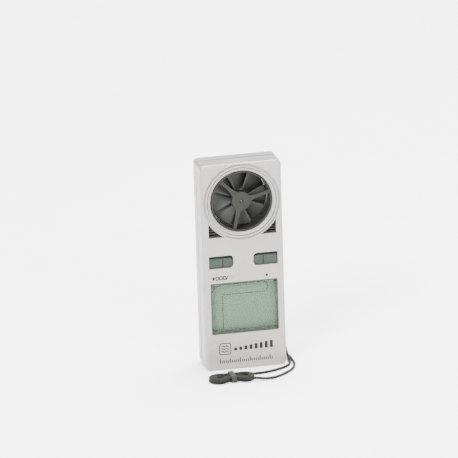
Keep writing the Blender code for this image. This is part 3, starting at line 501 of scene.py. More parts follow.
def moulded(name, colour, roughness, vary=0.06, grain=2600.0, grain_depth=0.000006, worn=0.25,
            metallic=0.0, specular=0.5, mottle=90.0, spread=0.08):
    """Moulded plastic: fine spark-eroded grain, slow mottling, rubbed edges and faint dust."""
    n = Nodes(name)
    slow = n.noise(mottle, 4.0)
    colours = n.tint(slow, ((0.30, shade(colour, 1 - vary)), (0.70, shade(colour, 1 + vary))))
    fine = n.noise(grain, 2.0)
    speck = n.ranged(fine, 0.35, 0.65, 0.0, 0.10)
    colours = n.mixed(speck, colours, shade(colour, 0.72))
    edge = n.maths("MULTIPLY", n.edges(0.0003), n.ranged(n.noise(700.0), 0.42, 0.62, 0.0, worn))
    colours = n.mixed(edge, colours, shade(colour, 1.35))
    n.set(Base_Color=colours)
    scuffs = n.noise(1.0, 4.0, place=n.stretched((1400.0, 1400.0, 160.0)))
    rough = n.patches(220.0, 5.0, 0.3, 0.7, roughness - spread, roughness + spread)
    rough = n.maths("ADD", rough, n.ranged(scuffs, 0.62, 0.75, 0.0, 0.08))
    rough = n.maths("SUBTRACT", rough, n.maths("MULTIPLY", edge, 0.3))
    n.set(Roughness=rough)
    n.bump(((fine, grain_depth), (n.noise(140.0, 2.0), grain_depth * 3)))
    n.set(Metallic=metallic, Specular_IOR_Level=specular)
    return n.material


def painted_case(name, colour):
    """Silver-grey paint over plastic: fine flake, satin sheen, slow mottling and rubbed edges."""
    n = Nodes(name)
    slow = n.noise(60.0, 5.0)
    colours = n.tint(slow, ((0.30, shade(colour, 0.955)), (0.70, shade(colour, 1.035))))
    flake = n.add("ShaderNodeTexVoronoi", {"Scale": 5200.0, "Vector": n.place})
    sparkle = n.ranged(flake.outputs["Color"], 0.2, 0.9, 0.0, 0.30)
    colours = n.mixed(sparkle, colours, shade(colour, 1.45))
    pits = n.patches(4200.0, 2.0, 0.58, 0.72, 0.0, 0.30)
    colours = n.mixed(pits, colours, shade(colour, 0.70))
    grit = n.noise(2300.0, 3.0)
    colours = n.mixed(n.ranged(grit, 0.42, 0.66, 0.0, 0.48), colours, shade(colour, 0.70))
    edge = n.maths("MULTIPLY", n.edges(0.00035), n.ranged(n.noise(520.0), 0.45, 0.60, 0.0, 0.35))
    colours = n.mixed(edge, colours, shade(colour, 1.30))
    n.set(Base_Color=colours)
    scuffs = n.noise(1.0, 4.0, place=n.stretched((1600.0, 1600.0, 130.0)))
    rough = n.patches(180.0, 5.0, 0.3, 0.7, 0.30, 0.46)
    rough = n.maths("ADD", rough, n.ranged(scuffs, 0.60, 0.75, 0.0, 0.16))
    rough = n.maths("SUBTRACT", rough, n.maths("MULTIPLY", edge, 0.25))
    n.set(Roughness=rough)
    n.set(Metallic=n.ranged(sparkle, 0.0, 0.30, 0.10, 0.55))
    n.bump(((flake.outputs["Distance"], 0.000014), (grit, 0.000030),
            (n.noise(110.0, 2.0), 0.00004)))
    return n.material


def rubber(name, colour, roughness=0.72):
    """Soft rubber with moulding grain and a little grey bloom."""
    n = Nodes(name)
    bloom = n.patches(260.0, 6.0, 0.45, 0.75, 0.0, 0.5)
    colours = n.mixed(bloom, shade(colour, 0.9), shade(colour, 2.6))
    n.set(Base_Color=colours)
    n.roughen(n.noise(500.0, 4.0), roughness - 0.1, roughness + 0.1)
    n.bump(((n.noise(3000.0, 2.0), 0.000008), (n.noise(400.0, 3.0), 0.00001)))
    return n.material


def metal(name, colour, roughness, brushed=(1.0, 1.0, 1.0), brush_scale=1800.0, tarnish=0.3):
    """Plated or bare metal: fine brushing, cloudy tarnish and a painted highlight along its edges."""
    n = Nodes(name)
    cloud = n.patches(420.0, 6.0, 0.42, 0.72, 0.0, tarnish)
    colours = n.mixed(cloud, colour, shade(colour, 0.55))
    # Painted highlight: every rounded edge is lightened evenly, whatever the light.
    edge = n.maths("MULTIPLY", n.edges(0.0002), 0.5)
    colours = n.mixed(edge, colours, shade(colour, 1.25))
    n.set(Base_Color=colours)
    lines = n.noise(brush_scale, 3.0, place=n.stretched(brushed))
    rough = n.ranged(lines, 0.3, 0.7, roughness - 0.08, roughness + 0.12)
    n.set(Roughness=n.maths("ADD", rough, n.maths("MULTIPLY", cloud, 0.25)))
    n.bump(((lines, 0.000004),))
    n.set(Metallic=1.0)
    return n.material


def clear_acrylic(name):
    """Clear sheet: mostly see-through, with a mirror's share that grows towards the edge of view."""
    n = Nodes(name)
    clear = n.add("ShaderNodeBsdfTransparent", {"Color": (0.955, 0.985, 0.960)})
    ripple = n.add("ShaderNodeBump", {"Distance": 0.000004, "Height": n.noise(160.0, 2.0)})
    smudge = n.patches(300.0, 5.0, 0.40, 0.75, 0.03, 0.16)
    gloss = n.add("ShaderNodeBsdfGlossy", {"Color": (1.0, 1.0, 1.0), "Roughness": smudge,
                                           "Normal": ripple.outputs["Normal"]})
    slope = n.add("ShaderNodeLayerWeight", {"Blend": 0.5})
    glance = n.maths("POWER", slope.outputs["Facing"], 4.0)
    share = n.ranged(glance, 0.0, 1.0, 0.005, 0.50)
    mix = n.add("ShaderNodeMixShader",
                enumerate((share, clear.outputs["BSDF"], gloss.outputs["BSDF"])))
    n.put(n.output.inputs["Surface"], mix.outputs["Shader"])
    return n.material


def display_film(name):
    """Grey-green reflective display: fine cell grid, slow banding, and painted shade towards its lower
    edge.
    """
    n = Nodes(name)
    parts = n.add("ShaderNodeSeparateXYZ", {"Vector": n.place})
    low_z = GLASS[2][0] * MM
    # Painted shade: the film darkens over its lowest 4.2 mm, where the window's well shades it.
    height = n.ranged(parts.outputs["Z"], low_z, low_z + 0.0042, 0.0, 1.0)
    base = n.tint(height, ((0.0, (0.036, 0.0525, 0.038)), (0.45, (0.064, 0.0925, 0.067)),
                           (1.0, (0.080, 0.1085, 0.083))))
    cloud = n.patches(70.0, 4.0, 0.35, 0.65, 0.0, 0.14)
    base = n.mixed(cloud, base, (0.070, 0.107, 0.072))
    waves = []
    for axis in ("X", "Z"):
        wave = n.maths("SINE", n.maths("MULTIPLY", parts.outputs[axis], 2 * pi / 0.00033))
        waves.append(n.ranged(wave, 0.75, 1.0, 0.0, 1.0))
    grid = n.maths("MAXIMUM", waves[0], waves[1])
    base = n.mixed(n.maths("MULTIPLY", grid, 0.05), base, (0.064, 0.090, 0.066))
    n.set(Base_Color=base)
    n.roughen(n.noise(500.0, 4.0), 0.30, 0.44)
    n.bump(((n.noise(3500.0, 2.0), 0.000003),))
    n.set(Specular_IOR_Level=0.10)
    return n.material


def printed_ink(name, colour):
    """Pad-printed ink: slightly broken cover and a satin face."""
    n = Nodes(name)
    holes = n.patches(3800.0, 3.0, 0.62, 0.75, 0.0, 0.18)
    n.set(Base_Color=n.mixed(holes, colour, (0.22, 0.21, 0.19)))
    n.roughen(n.noise(900.0, 4.0), 0.42, 0.62)
    n.bump(((n.noise(3000.0, 2.0), 0.000005),))
    n.set(Specular_IOR_Level=0.15)
    return n.material


def laminate(name):
    """Green solder mask over copper tracks."""
    n = Nodes(name)
    flat = n.add("ShaderNodeMapping", {"Rotation": (pi / 2, 0.0, 0.0), "Vector": n.place})
    bricks = n.add("ShaderNodeTexBrick", {
        "Scale": 420.0, "Color1": (0.020, 0.150, 0.060), "Color2": (0.028, 0.190, 0.080),
        "Mortar": (0.012, 0.085, 0.036), "Vector": flat.outputs["Vector"]})
    haze = n.patches(900.0, 4.0, 0.4, 0.7, 0.0, 0.3)
    n.set(Base_Color=n.mixed(haze, bricks.outputs["Color"], (0.05, 0.22, 0.10)))
    n.roughen(n.noise(600.0, 4.0), 0.25, 0.45)
    n.bump(((bricks.outputs["Fac"], 0.00001),))
    n.set(Coat_Weight=0.4, Coat_Roughness=0.15)
    return n.material


def braid(name, colour, across=8.0, along=0.0011, depth=0.00012):
    """Braided cord, from u round the cord and v along it in metres."""
    n = Nodes(name)
    chart = n.add("ShaderNodeUVMap", uv_map="route").outputs["UV"]
    parts = n.add("ShaderNodeSeparateXYZ", {"Vector": chart})
    turn = n.maths("MULTIPLY", parts.outputs["X"], 2 * pi * across / 2)
    length = n.maths("MULTIPLY", parts.outputs["Y"], 2 * pi / along)
    first = n.maths("SINE", n.maths("ADD", turn, length))
    second = n.maths("SINE", n.maths("SUBTRACT", turn, length))
    strands = n.maths("ABSOLUTE", n.maths("MULTIPLY", first, second))
    height = n.ranged(strands, 0.0, 1.0, 0.0, 1.0)
    fibre = n.noise(1.0, 3.0, place=n.stretched((60.0, 9000.0, 1.0), chart))
    # Painted shade between the strands and a painted highlight on their crowns, both from the strands'
    # height.
    colours = n.tint(height, ((0.0, shade(colour, 0.30)), (0.30, shade(colour, 0.85)),
                              (1.0, shade(colour, 1.25))))
    colours = n.mixed(n.ranged(fibre, 0.35, 0.65, 0.0, 0.45), colours, shade(colour, 1.9))
    colours = n.mixed(n.patches(160.0, 5.0, 0.4, 0.7, 0.0, 0.4), colours,
                      shade(colour, 0.6))
    n.set(Base_Color=colours)
    n.roughen(fibre, 0.62, 0.88)
    n.bump(((height, depth), (fibre, depth * 0.15)))
    n.set(Sheen_Weight=0.08, Sheen_Roughness=0.5, Specular_IOR_Level=0.15)
    return n.material


def webbing(name, colour):
    """Woven elastic band: ribs across it and fine threads."""
    n = Nodes(name)
    ribs = n.noise(1.0, 2.0, place=n.stretched((5200.0, 500.0, 500.0)))
    threads = n.noise(6000.0, 2.0)
    # Painted shade in the grooves between the ribs and a painted highlight on their tops, both from
    # the ribs' height.
    colours = n.tint(ribs, ((0.35, shade(colour, 0.6)), (0.65, shade(colour, 1.35))))
    colours = n.mixed(n.ranged(threads, 0.4, 0.7, 0.0, 0.5), colours, shade(colour, 2.0))
    n.set(Base_Color=colours)
    n.roughen(threads, 0.6, 0.85)
    n.bump(((ribs, 0.00006), (threads, 0.00002)))
    n.set(Sheen_Weight=0.1, Specular_IOR_Level=0.25)
    return n.material


CASE_PAINT = painted_case("case_paint", (0.262, 0.244, 0.222))
DARK_PLASTIC = moulded("cartridge_plastic", (0.0118, 0.0127, 0.0100), 0.58, specular=0.18,
                       mottle=200.0)
ROTOR_PLASTIC = moulded("rotor_plastic", (0.0160, 0.0168, 0.0152), 0.50, grain_depth=0.000002,
                        worn=0.5, specular=0.25, spread=0.06)
GRILLE_PLASTIC = moulded("grille_plastic", (0.014, 0.016, 0.014), 0.50, specular=0.2)
BUTTON_PLASTIC = moulded("button_plastic", (0.0218, 0.0294, 0.0238), 0.55, specular=0.22,
                         mottle=240.0)
WHITE_PLASTIC = moulded("white_plastic", (0.74, 0.74, 0.71), 0.50)
CHIP_RESIN = moulded("chip_resin", (0.016, 0.016, 0.017), 0.45, mottle=400.0)
BACKLIGHT = moulded("backlight_film", (0.70, 0.78, 0.72), 0.35, grain_depth=0.000002)
SEAL_RUBBER = rubber("seal_rubber", (0.020, 0.020, 0.020))
FRAME_GREY = rubber("frame_grey", (0.041, 0.049, 0.041), 0.66)
STEEL = metal("steel", (0.58, 0.58, 0.59), 0.28)
PIVOT_STEEL = metal("pivot_steel", (0.075, 0.076, 0.072), 0.48)
CELL_STEEL = metal("cell_steel", (0.66, 0.65, 0.63), 0.22, brushed=(1.0, 1.0, 0.05))
BRASS = metal("brass", (0.70, 0.50, 0.20), 0.28, tarnish=0.5)
NICKEL = metal("magnet_nickel", (0.46, 0.45, 0.43), 0.30)
ACRYLIC = clear_acrylic("window_acrylic")
DISPLAY = display_film("display_film")
DARK_INK = printed_ink("dark_ink", (0.0085, 0.0085, 0.0082))
RED_INK = printed_ink("red_ink", (0.30, 0.085, 0.08))
SEGMENT_INK = printed_ink("segment_ink", (0.012, 0.019, 0.013))
# Painted shade for the dark line round the display window, laid on like ink.
PAINTED_SHADE_BORDER = printed_ink("painted_shade_border", (0.042, 0.048, 0.042))
BOARD = laminate("board_laminate")
CORD_BRAID = braid("cord_braid", (0.0053, 0.0058, 0.0031))
TIE_BAND = webbing("tie_band", (0.0095, 0.0095, 0.0075))


# ---------------------------------------------------------------- case shells

def case_block(name):
    """The whole case as one solid with rounded corners and edges."""
    shape = bmesh.new()
    bmesh.ops.create_cube(shape, size=1.0)
    bmesh.ops.scale(shape, vec=(2 * HALF_WIDTH, BACK_Y - FACE_Y, CASE_TOP), verts=shape.verts)
    bmesh.ops.translate(shape, vec=(0, (BACK_Y + FACE_Y) / 2, CASE_TOP / 2), verts=shape.verts)

    def round_edges(chosen, radius, segments):
        edges = [edge for edge in shape.edges if chosen(edge.verts[0].co, edge.verts[1].co)]
        bmesh.ops.bevel(shape, geom=edges, offset=radius, segments=segments, profile=0.5,
                        affect="EDGES", clamp_overlap=True)

    tiny = 0.01
    round_edges(lambda a, b: abs(a.y - b.y) > tiny and a.z > 1.0, 1.8, 10)
    round_edges(lambda a, b: abs(a.y - b.y) > tiny and max(a.z, b.z) < tiny, 2.4, 10)
    round_edges(lambda a, b: max(abs(a.y - FACE_Y), abs(b.y - FACE_Y)) < tiny, 1.1, 7)
    round_edges(lambda a, b: max(abs(a.y - BACK_Y), abs(b.y - BACK_Y)) < tiny, 1.7, 8)
    return new_object(name, shape)


def posts(y):
    return [rod(f"post_{name}", POST_RADIUS, y, place, 28)
            for name, place in zip(SCREWS, SCREW_PLACES)]


def vent_outline(arc_radius=16.45, outer_x=14.2, drop=14.7):
    """The corner left between a circle about the duct, an upright line and a level line."""
    start = -acos(outer_x / arc_radius) * 180 / pi
    end = asin(-drop / arc_radius) * 180 / pi
    return arc(DUCT, arc_radius, end, start, 20) + [(outer_x, DUCT[1] - drop)]


def slot_outline(shrink=0.0, top=0.0):
    """A button slot: round corners towards the middle, nearly square ones outside."""
    rounds = (SLOT_ROUND - shrink, 0.35, 0.35, SLOT_ROUND - shrink)
    return rectangle((SLOT_X[0] + shrink, SLOT_X[1] - shrink),
                     (BUTTON_Z - SLOT_HALF + shrink, BUTTON_Z + SLOT_HALF - shrink - top), rounds)


def make_front_shell():
    shell = case_block("front_case")
    room = carve(block("room", (-INNER_X, INNER_X), (INNER_FRONT_Y, 3), (WALL, INNER_TOP)),
                 posts((-7, 4)))
    window = rectangle((-WINDOW_X, WINDOW_X), WINDOW_Z, 0.6)
    groove_floor = FACE_Y + 0.75
    hole = [(0, -PAST_CASE), (RING_OUTER, -PAST_CASE), (RING_OUTER, groove_floor),
            (14.2, groove_floor), (14.2, 3), (0, 3)]
    cuts = [block("behind", AROUND_X, (SPLIT_FRONT, PAST_CASE), AROUND_Z), room,
            lathe("duct_hole", softened(hole, 0.05), DUCT),
            slab("window_hole", window, (-PAST_CASE, INNER_FRONT_Y + 0.4)),
            block("window_pocket", POCKET_X, (-6.45, INNER_FRONT_Y + 0.7), POCKET_Z)]
    through_front = (-PAST_CASE, -5)
    for side in (-1, 1):
        cuts.append(slab("vent_hole", mirrored(vent_outline(), side), through_front))
        cuts.append(slab("button_hole", mirrored(slot_outline(), side), through_front))
    carve(shell, cuts)
    round_over(shell, 0.16, 3, 38)
    liner = softened([(14.98, RING_Y + 0.01), (15.26, RING_Y + 0.10), (15.38, FACE_Y + 0.70),
                      (15.94, FACE_Y + 0.70), (16.04, FACE_Y - 0.02), (16.2, FACE_Y + 0.01),
                      (16.2, INNER_FRONT_Y - 0.1),
                      (DUCT_WALL, INNER_FRONT_Y - 0.1), (DUCT_WALL, SPLIT_FRONT - 0.1),
                      (DUCT_BORE, SPLIT_FRONT - 0.1), (DUCT_BORE, RING_Y + 0.75),
                      (13.55, RING_Y + 0.12), (13.95, RING_Y), (14.12, RING_Y + 0.02),
                      (14.20, RING_Y + 0.80), (14.62, RING_Y + 0.80), (14.70, RING_Y)], 0.08,
                     closed=True, steps=3)
    carve(shell, adds=[lathe("duct_liner", liner, DUCT, 128, closed=True)])
    return finish_piece(shell, "case", CASE_PAINT, ["front_shell"])


def rear_bores(start_y):
    """The duct, the battery's well, the screw holes and the lanyard's eyelet."""
    bore = [(0, start_y), (DUCT_BORE, start_y), (DUCT_BORE, 7.0), (12.35, 7.15), (12.35, 7.3),
            (12.7, BACK_Y + 0.02), (12.7, PAST_BACK), (0, PAST_BACK)]
    well = [(0, start_y), (WELL_BORE, start_y), (WELL_BORE, 5.1), (COVER_BORE, 5.1),
            (COVER_BORE, BACK_Y - 0.35), (COVER_BORE + 0.3, BACK_Y + 0.02),
            (COVER_BORE + 0.3, PAST_BACK), (0, PAST_BACK)]
    hole = [(0, start_y), (PILOT_BORE, start_y), (PILOT_BORE, 5.9), (HEAD_BORE, 5.9),
            (HEAD_BORE, BACK_Y - 0.2), (HEAD_BORE + 0.25, BACK_Y + 0.02),
            (HEAD_BORE + 0.25, PAST_BACK), (0, PAST_BACK)]
    loop = lathe("eyelet", circle((EYELET_MAJOR, 0), EYELET_MINOR, 24), (0, 0), 64, closed=True)
    loop.data.transform(Matrix.Translation(EYELET) @ Matrix.Rotation(pi / 2, 4, "X"))
    return [lathe("rear_bore", bore, DUCT), lathe("well_bore", well, CELL),
            *[lathe("screw_hole", hole, place, 40) for place in SCREW_PLACES], loop]


def back_details():
    """Shallow cuts in the back: a blank plate, two grip grooves and the cover's index marks."""
    plate = rectangle((-11.0, 11.0), (42.6, 52.0), 1.2)
    cuts = [slab("plate_recess", plate, (BACK_Y - 0.22, PAST_BACK))]
    for low_z in GRIP_GROOVES:
        groove = rectangle((-9.0, 9.0), (low_z, low_z + 0.7), 0.34)
        cuts.append(slab("grip_groove", groove, (BACK_Y - 0.35, PAST_BACK)))
    lock = arc(CELL, INDEX_RADIUS, 84, 96, 10) + arc(CELL, INDEX_RADIUS - 0.4, 96, 84, 10)
    cuts.append(slab("lock_mark", lock, ENGRAVED))
    dot = circle((INDEX_RADIUS * sin(radians(60)), CELL[1] + INDEX_RADIUS * cos(radians(60))), 0.4, 24)
    cuts.append(slab("open_mark", dot, ENGRAVED))
    return cuts


def make_rear_shell():
    shell = case_block("rear_case")
    kept_y = (-2, 7)
    keep = posts(kept_y) + [rod("kept", DUCT_WALL, kept_y, DUCT), rod("kept", WELL_WALL, kept_y, CELL),
                            block("eyelet_block", (9.8, 15.6), kept_y, (4, 9))]
    start_y = -1
    room = carve(block("room", (-INNER_X, INNER_X), (start_y, INNER_BACK_Y), (WALL, INNER_TOP)),
                 keep)
    ahead = block("ahead", AROUND_X, (-PAST_CASE, SPLIT_BACK), AROUND_Z)
    carve(shell, [ahead, room] + rear_bores(start_y) + back_details())
    round_over(shell, 0.14, 3, 38)
    return finish_piece(shell, "case", CASE_PAINT, ["rear_shell"])


def make_screws():
    for name, place, limits in zip(SCREWS, SCREW_PLACES, SCREW_SPANS):
        front, back = limits[1]
        profile = [(0, front), (0.5, front), (SHANK_RADIUS, front + 0.6),
                   (SHANK_RADIUS, back - 1.0), (HEAD_RADIUS, back - 1.0),
                   (HEAD_RADIUS, back - 0.42), (1.1, back - 0.08), (0, back)]
        screw = lathe(f"screw_{name}", softened(profile, 0.12, steps=3), place, 40)
        tools = []
        for half in ((0.92, 0.17), (0.17, 0.92)):
            outline = rectangle((place[0] - half[0], place[0] + half[0]),
                                (place[1] - half[1], place[1] + half[1]), 0.12, 3)
            tools.append(slab("recess", outline, (back - 0.5, back + 0.5)))
        well = lathe("recess_well", [(0, back - 0.62), (0.3, back - 0.45), (0.5, back + 0.4),
                                     (0, back + 0.4)], place, 24)
        carve(screw, tools + [well])
        spin = Matrix.Rotation(radians(17 + 31 * len(name)), 4, "Y")
        shift = Matrix.Translation((place[0], 0, place[1]))
        screw.data.transform(shift @ spin @ shift.inverted())
        finish_piece(screw, "case", STEEL, [f"case_screw_{name}"])


# ---------------------------------------------------------------- impeller cartridge

def arm_outline(angle, root, tip, halves, sweep, power, count=24):
    """A curved arm in the duct's plane that flares towards the hub."""
    left = []
    right = []
    for step in range(count + 1):
        share = step / count
        radius = root + (tip - root) * share
        heading = radians(angle + sweep * (share - 0.5))
        half = halves[1] + (halves[0] - halves[1]) * (1 - share) ** power
        along = Vector((cos(heading), sin(heading)))
        across = Vector((-along.y, along.x)) * half
        left.append(tuple(along * radius + across + Vector(DUCT)))
        right.append(tuple(along * radius - across + Vector(DUCT)))
    return right + left[::-1]


def make_cartridge_frame():
    front, back = TUBE[1]
    tube = softened([(TUBE_INNER + 0.05, front), (TUBE_OUTER, front), (TUBE_OUTER, back),
                     (TUBE_INNER, back), (TUBE_INNER, front + 0.5)], 0.18, closed=True)
    frame_piece = lathe("cartridge", tube, DUCT, 128, closed=True)
    hub_back = -4.6
    star = lathe("hub", [(0, front + 0.25), (3.2, front + 0.25), (FRONT_HUB - 0.2, front + 0.5),
                         (FRONT_HUB, front + 0.9), (FRONT_HUB, hub_back), (0, hub_back)], DUCT, 64)
    arms = [slab("arm", arm_outline(angle, 2.0, 12.35, (2.9, 0.68), 3.0, 5.5), (-6.35, -4.9))
            for angle in ARM_ANGLES]
    carve(star, adds=arms)
    round_over(star, 0.30, 4, 30)
    hole = lathe("bearing_hole", softened([(0, -8), (0.95, -8), (0.95, -6.55), (0.5, -6.3),
                                           (0.5, -5.9), (1.2, -5.9), (1.2, -3), (0, -3)], 0.08),
                 DUCT, 48)
    carve(star, [hole])
    join(frame_piece, [star])
    return finish_piece(frame_piece, "cartridge", DARK_PLASTIC, ["cartridge_frame"], 40)


def make_rear_spider():
    front, back = SPIDER[1]
    ring = softened([(TUBE_INNER, front), (TUBE_OUTER, front), (TUBE_OUTER, back),
                     (TUBE_INNER, back)], 0.15, closed=True)
    spider = lathe("rear_carrier", ring, DUCT, 128, closed=True)
    hub = [(0, front), (REAR_HUB, front), (REAR_HUB, back - 0.2), (0, back - 0.2)]
    star = lathe("rear_hub", softened(hub, 0.25), DUCT, 64)
    arms = [slab("rear_arm", arm_outline(angle, 1.8, 12.4, (1.4, 0.7), 0.0, 3.0),
                 (front + 0.2, back - 0.4)) for angle in REAR_ARM_ANGLES]
    carve(star, adds=arms)
    round_over(star, 0.2, 3, 30)
    carve(star, [rod("rear_bearing_hole", 1.2, (3, 8), DUCT, 40)])
    join(spider, [star])
    return finish_piece(spider, "cartridge", DARK_PLASTIC, ["rear_spider"], 40)


def make_bearings():
    front, back = FRONT_BEARING[1]
    profile = [(0, front + 0.42), (0.25, front + 0.40), (0.42, front + 0.55), (0.42, front + 1.0),
               (BEARING_RADIUS, front + 1.05), (BEARING_RADIUS, back), (0.7, back),
               (0.7, back - 0.6), (0, back - 0.6)]
    piece = lathe("front_jewel", softened(profile, 0.08, steps=3), DUCT, 40)
    finish_piece(piece, "cartridge", PIVOT_STEEL, ["front_bearing"])
    front, back = REAR_BEARING[1]
    profile = [(0, front + 0.6), (0.7, front + 0.6), (0.7, front), (BEARING_RADIUS, front),
               (BEARING_RADIUS, back - 0.15), (0.5, back), (0.35, back - 0.1), (0, back - 0.12)]
    piece = lathe("rear_jewel", softened(profile, 0.08, steps=3), DUCT, 40)
    finish_piece(piece, "cartridge", PIVOT_STEEL, ["rear_bearing"])


def blade(shape, heading):
    """One screw-shaped blade of constant lead with a crowned section and rounded outer corners."""
    spans = 16
    turns = 18
    sheets = []
    for side in (-1, 1):
        sheet = []
        for row in range(spans + 1):
            along = row / spans
            radius = ROTOR_HUB - 0.5 + (BLADE_TIP - ROTOR_HUB + 0.5) * (1 - (1 - along) ** 1.4)
            outer = max(0.0, (radius - BLADE_TIP + 1.5) / 1.5)
            width = 0.5 * (1.0 - 0.05 * outer ** 3)
            lean = BLADE_DEPTH / (radius * BLADE_SPREAD)
            line = []
            for turn in range(turns + 1):
                share = 2 * turn / turns - 1
                share = (1.15 * share - 0.15 * share ** 3)
                edge = max(0.0, 1 - abs(share) ** 6) ** 0.5
                rim = min(1.0, sqrt(max(0.0, (BLADE_TIP - radius) / 0.25)))
                rise = side * BLADE_THICKNESS / 2 * sqrt(1 + lean * lean) * edge * rim
                angle = heading + BLADE_SPREAD * share * width
                line.append(shape.verts.new((DUCT[0] + radius * cos(angle),
                                             -(BLADE_DEPTH * share * width + rise),
                                             DUCT[1] + radius * sin(angle))))
            sheet.append(line)
        sheets.append(sheet)
    for sheet in sheets:
        for first, second in zip(sheet, sheet[1:]):
            for turn in range(turns):
                shape.faces.new((first[turn], second[turn], second[turn + 1], first[turn + 1]))
    front, rear = sheets
    for turn in range(turns):
        shape.faces.new((front[0][turn], front[0][turn + 1], rear[0][turn + 1], rear[0][turn]))
    bmesh.ops.remove_doubles(shape, verts=shape.verts, dist=0.0005)


def make_impeller():
    front, back = -ROTOR_HALF, ROTOR_HALF
    hub = [(0.9, front + 0.1), (1.4, front), (2.1, front), (ROTOR_HUB, front + 0.9),
           (ROTOR_HUB, back), (2.3, back), (2.3, 2.2), (0.9, 2.2)]
    rotor = lathe("rotor", softened(hub, 0.35, closed=True), DUCT, 64, closed=True)
    blades = []
    for index in range(BLADE_COUNT):
        shape = bmesh.new()
        blade(shape, 2 * pi * (index + BLADE_START) / BLADE_COUNT)
        blades.append(new_object("blade", shape))
    join(rotor, blades)
    return finish_piece(rotor, "impeller", ROTOR_PLASTIC, ["impeller"], 50)


def make_shaft():
    half = [(SHAFT_RADIUS, 4.15), (PIVOT_RADIUS, 4.25), (PIVOT_RADIUS, 4.7), (0.12, 4.98),
            (0, 5.0)]
    shaft = [(radius, -y) for radius, y in reversed(half)] + half
    piece = lathe("spindle", softened(shaft, 0.06, steps=2), DUCT, 32)
    finish_piece(piece, "impeller", STEEL, ["impeller_shaft"])
    magnet = softened([(0.9, 2.5), (2.0, 2.5), (2.0, 3.4), (0.9, 3.4)], 0.12, closed=True)
    finish_piece(lathe("pole_ring", magnet, DUCT, 48, closed=True), "impeller", NICKEL,
                 ["rotor_magnet"])


# ---------------------------------------------------------------- vents and buttons

def make_vent_grilles():
    for side, word in ((-1, "left"), (1, "right")):
        limits = span(f"vent_grille_{word}")
        grille = block(f"louvre_panel_{word}", *limits)
        cuts = [rod("duct_room", DUCT_WALL + 0.3, (-7, -3), DUCT)]
        for row in range(5):
            low = limits[2][0] + 1.3 + 1.15 * row
            inner = 9.6 + 0.75 * row
            outline = rectangle((inner, 13.9), (low, low + 0.55), 0.22, 4)
            cuts.append(slab("louvre", mirrored(outline, side), (-6, -4)))
        carve(grille, cuts)
        round_over(grille, 0.08, 2, 38)
        finish_piece(grille, "case", GRILLE_PLASTIC, [f"vent_grille_{word}"])


def make_buttons():
    front, back = BUTTON[1]
    for side, word in ((-1, "left"), (1, "right")):
        cap = slab(f"key_{word}", mirrored(slot_outline(0.22, 1.00), side), (front, front + 1.6))
        groove = side * GROOVE_X
        tool = slab("groove", [(groove - 0.24, front - 0.3), (groove + 0.24, front - 0.3),
                               (groove + 0.12, front + 0.34), (groove - 0.12, front + 0.34)],
                    (BUTTON_Z - 4, BUTTON_Z + 4), "Z")
        carve(cap, [tool])
        round_over(cap, 0.22, 4, 38)
        flange_x = sorted((side * (SLOT_X[0] - 0.7), side * (SLOT_X[1] + 0.35)))
        flange = block("flange", flange_x, (-5.4, -4.6),
                       (BUTTON_Z - SLOT_HALF - 0.7, BUTTON_Z + SLOT_HALF + 0.7))
        stem = lathe("stem", softened([(0, -5.1), (1.2, -5.1), (1.2, -3.7), (0, -3.7)], 0.15),
                     (side * STEM_X, BUTTON_Z), 32)
        join(cap, [round_over(flange, 0.12), stem])
        finish_piece(cap, f"button_{word}", BUTTON_PLASTIC, [f"button_{word}"])


# ---------------------------------------------------------------- display and front marks

def make_window():
    low, high = WINDOW[1][0], WINDOW[1][1]
    face_x = WINDOW_X - 0.25
    face_z = (WINDOW_Z[0] + 0.25, WINDOW_Z[1] - 0.25)
    lens = slab("lens", rectangle((-face_x, face_x), face_z, 0.6), (low, high))
    carve(lens, adds=[block("lens_flange", WINDOW[0], (high - 0.8, high), WINDOW[2])])
    round_over(lens, 0.10, 3, 38)
    finish_piece(lens, "case", ACRYLIC, ["display_window"])
    # Painted shade: a thin dark ring round the lens's face stands in for the shade lines along the
    # window's edges.
    outer = rectangle((-face_x - 0.20, face_x + 0.20), (face_z[0] - 0.20, face_z[1] + 0.20), 0.75)
    inner = rectangle((-face_x + 0.22, face_x - 0.22), (face_z[0] + 0.22, face_z[1] - 0.22), 0.45)
    border = slab("window_border", outer, (low - 0.03, low + 0.02))
    carve(border, [slab("border_room", inner, (low - 1, high))])
    finish_piece(border, "case", PAINTED_SHADE_BORDER)


def make_display_frame():
    limits = span("display_frame")
    frame_piece = slab("display_surround", rectangle(limits[0], limits[2], 0.4), limits[1])
    opening = slab("surround_room", rectangle(*FRAME_OPENING, 0.4),
                   (limits[1][0] - 1, limits[1][1] + 1))
    carve(frame_piece, [opening])
    round_over(frame_piece, 0.12, 2)
    finish_piece(frame_piece, "case", FRAME_GREY, ["display_frame"])


def make_display_marks():
    """The display's printed outline: a band along its top that turns down its left side."""
    front = GLASS[1][0]
    outer = ([(-13.15, 16.5)] + arc((-8.65, 31.2), 4.5, 180, 90, 14)
             + [(9.7, 35.7), (10.25, 34.7), (10.35, 33.6), (10.15, 32.4), (9.7, 31.4)]
             + arc((-8.0, 30.8), 0.6, 90, 180, 5) + [(-8.6, 16.5)])
    outline = strip("display_outline", softened(outer, 0.4, closed=True, steps=3), 0.13,
                    (front - 0.04, front + 0.02), closed=True)
    finish_piece(outline, "case", SEGMENT_INK)


def wind_symbol():
    """Three waves in a square."""
    square = rectangle((-11.2, -6.5), (6.75, 11.45), 0.7, 5)
    marks = [strip("square_mark", square, 0.19, MARK_Y, closed=True)]
    for row in range(3):
        wave = [(-10.4 + 0.16 * step, 10.25 - 1.15 * row + 0.28 * sin(step * 2 * pi / 10))
                for step in range(20)]
        marks.append(strip("wave_mark", wave, 0.18, MARK_Y))
    return marks


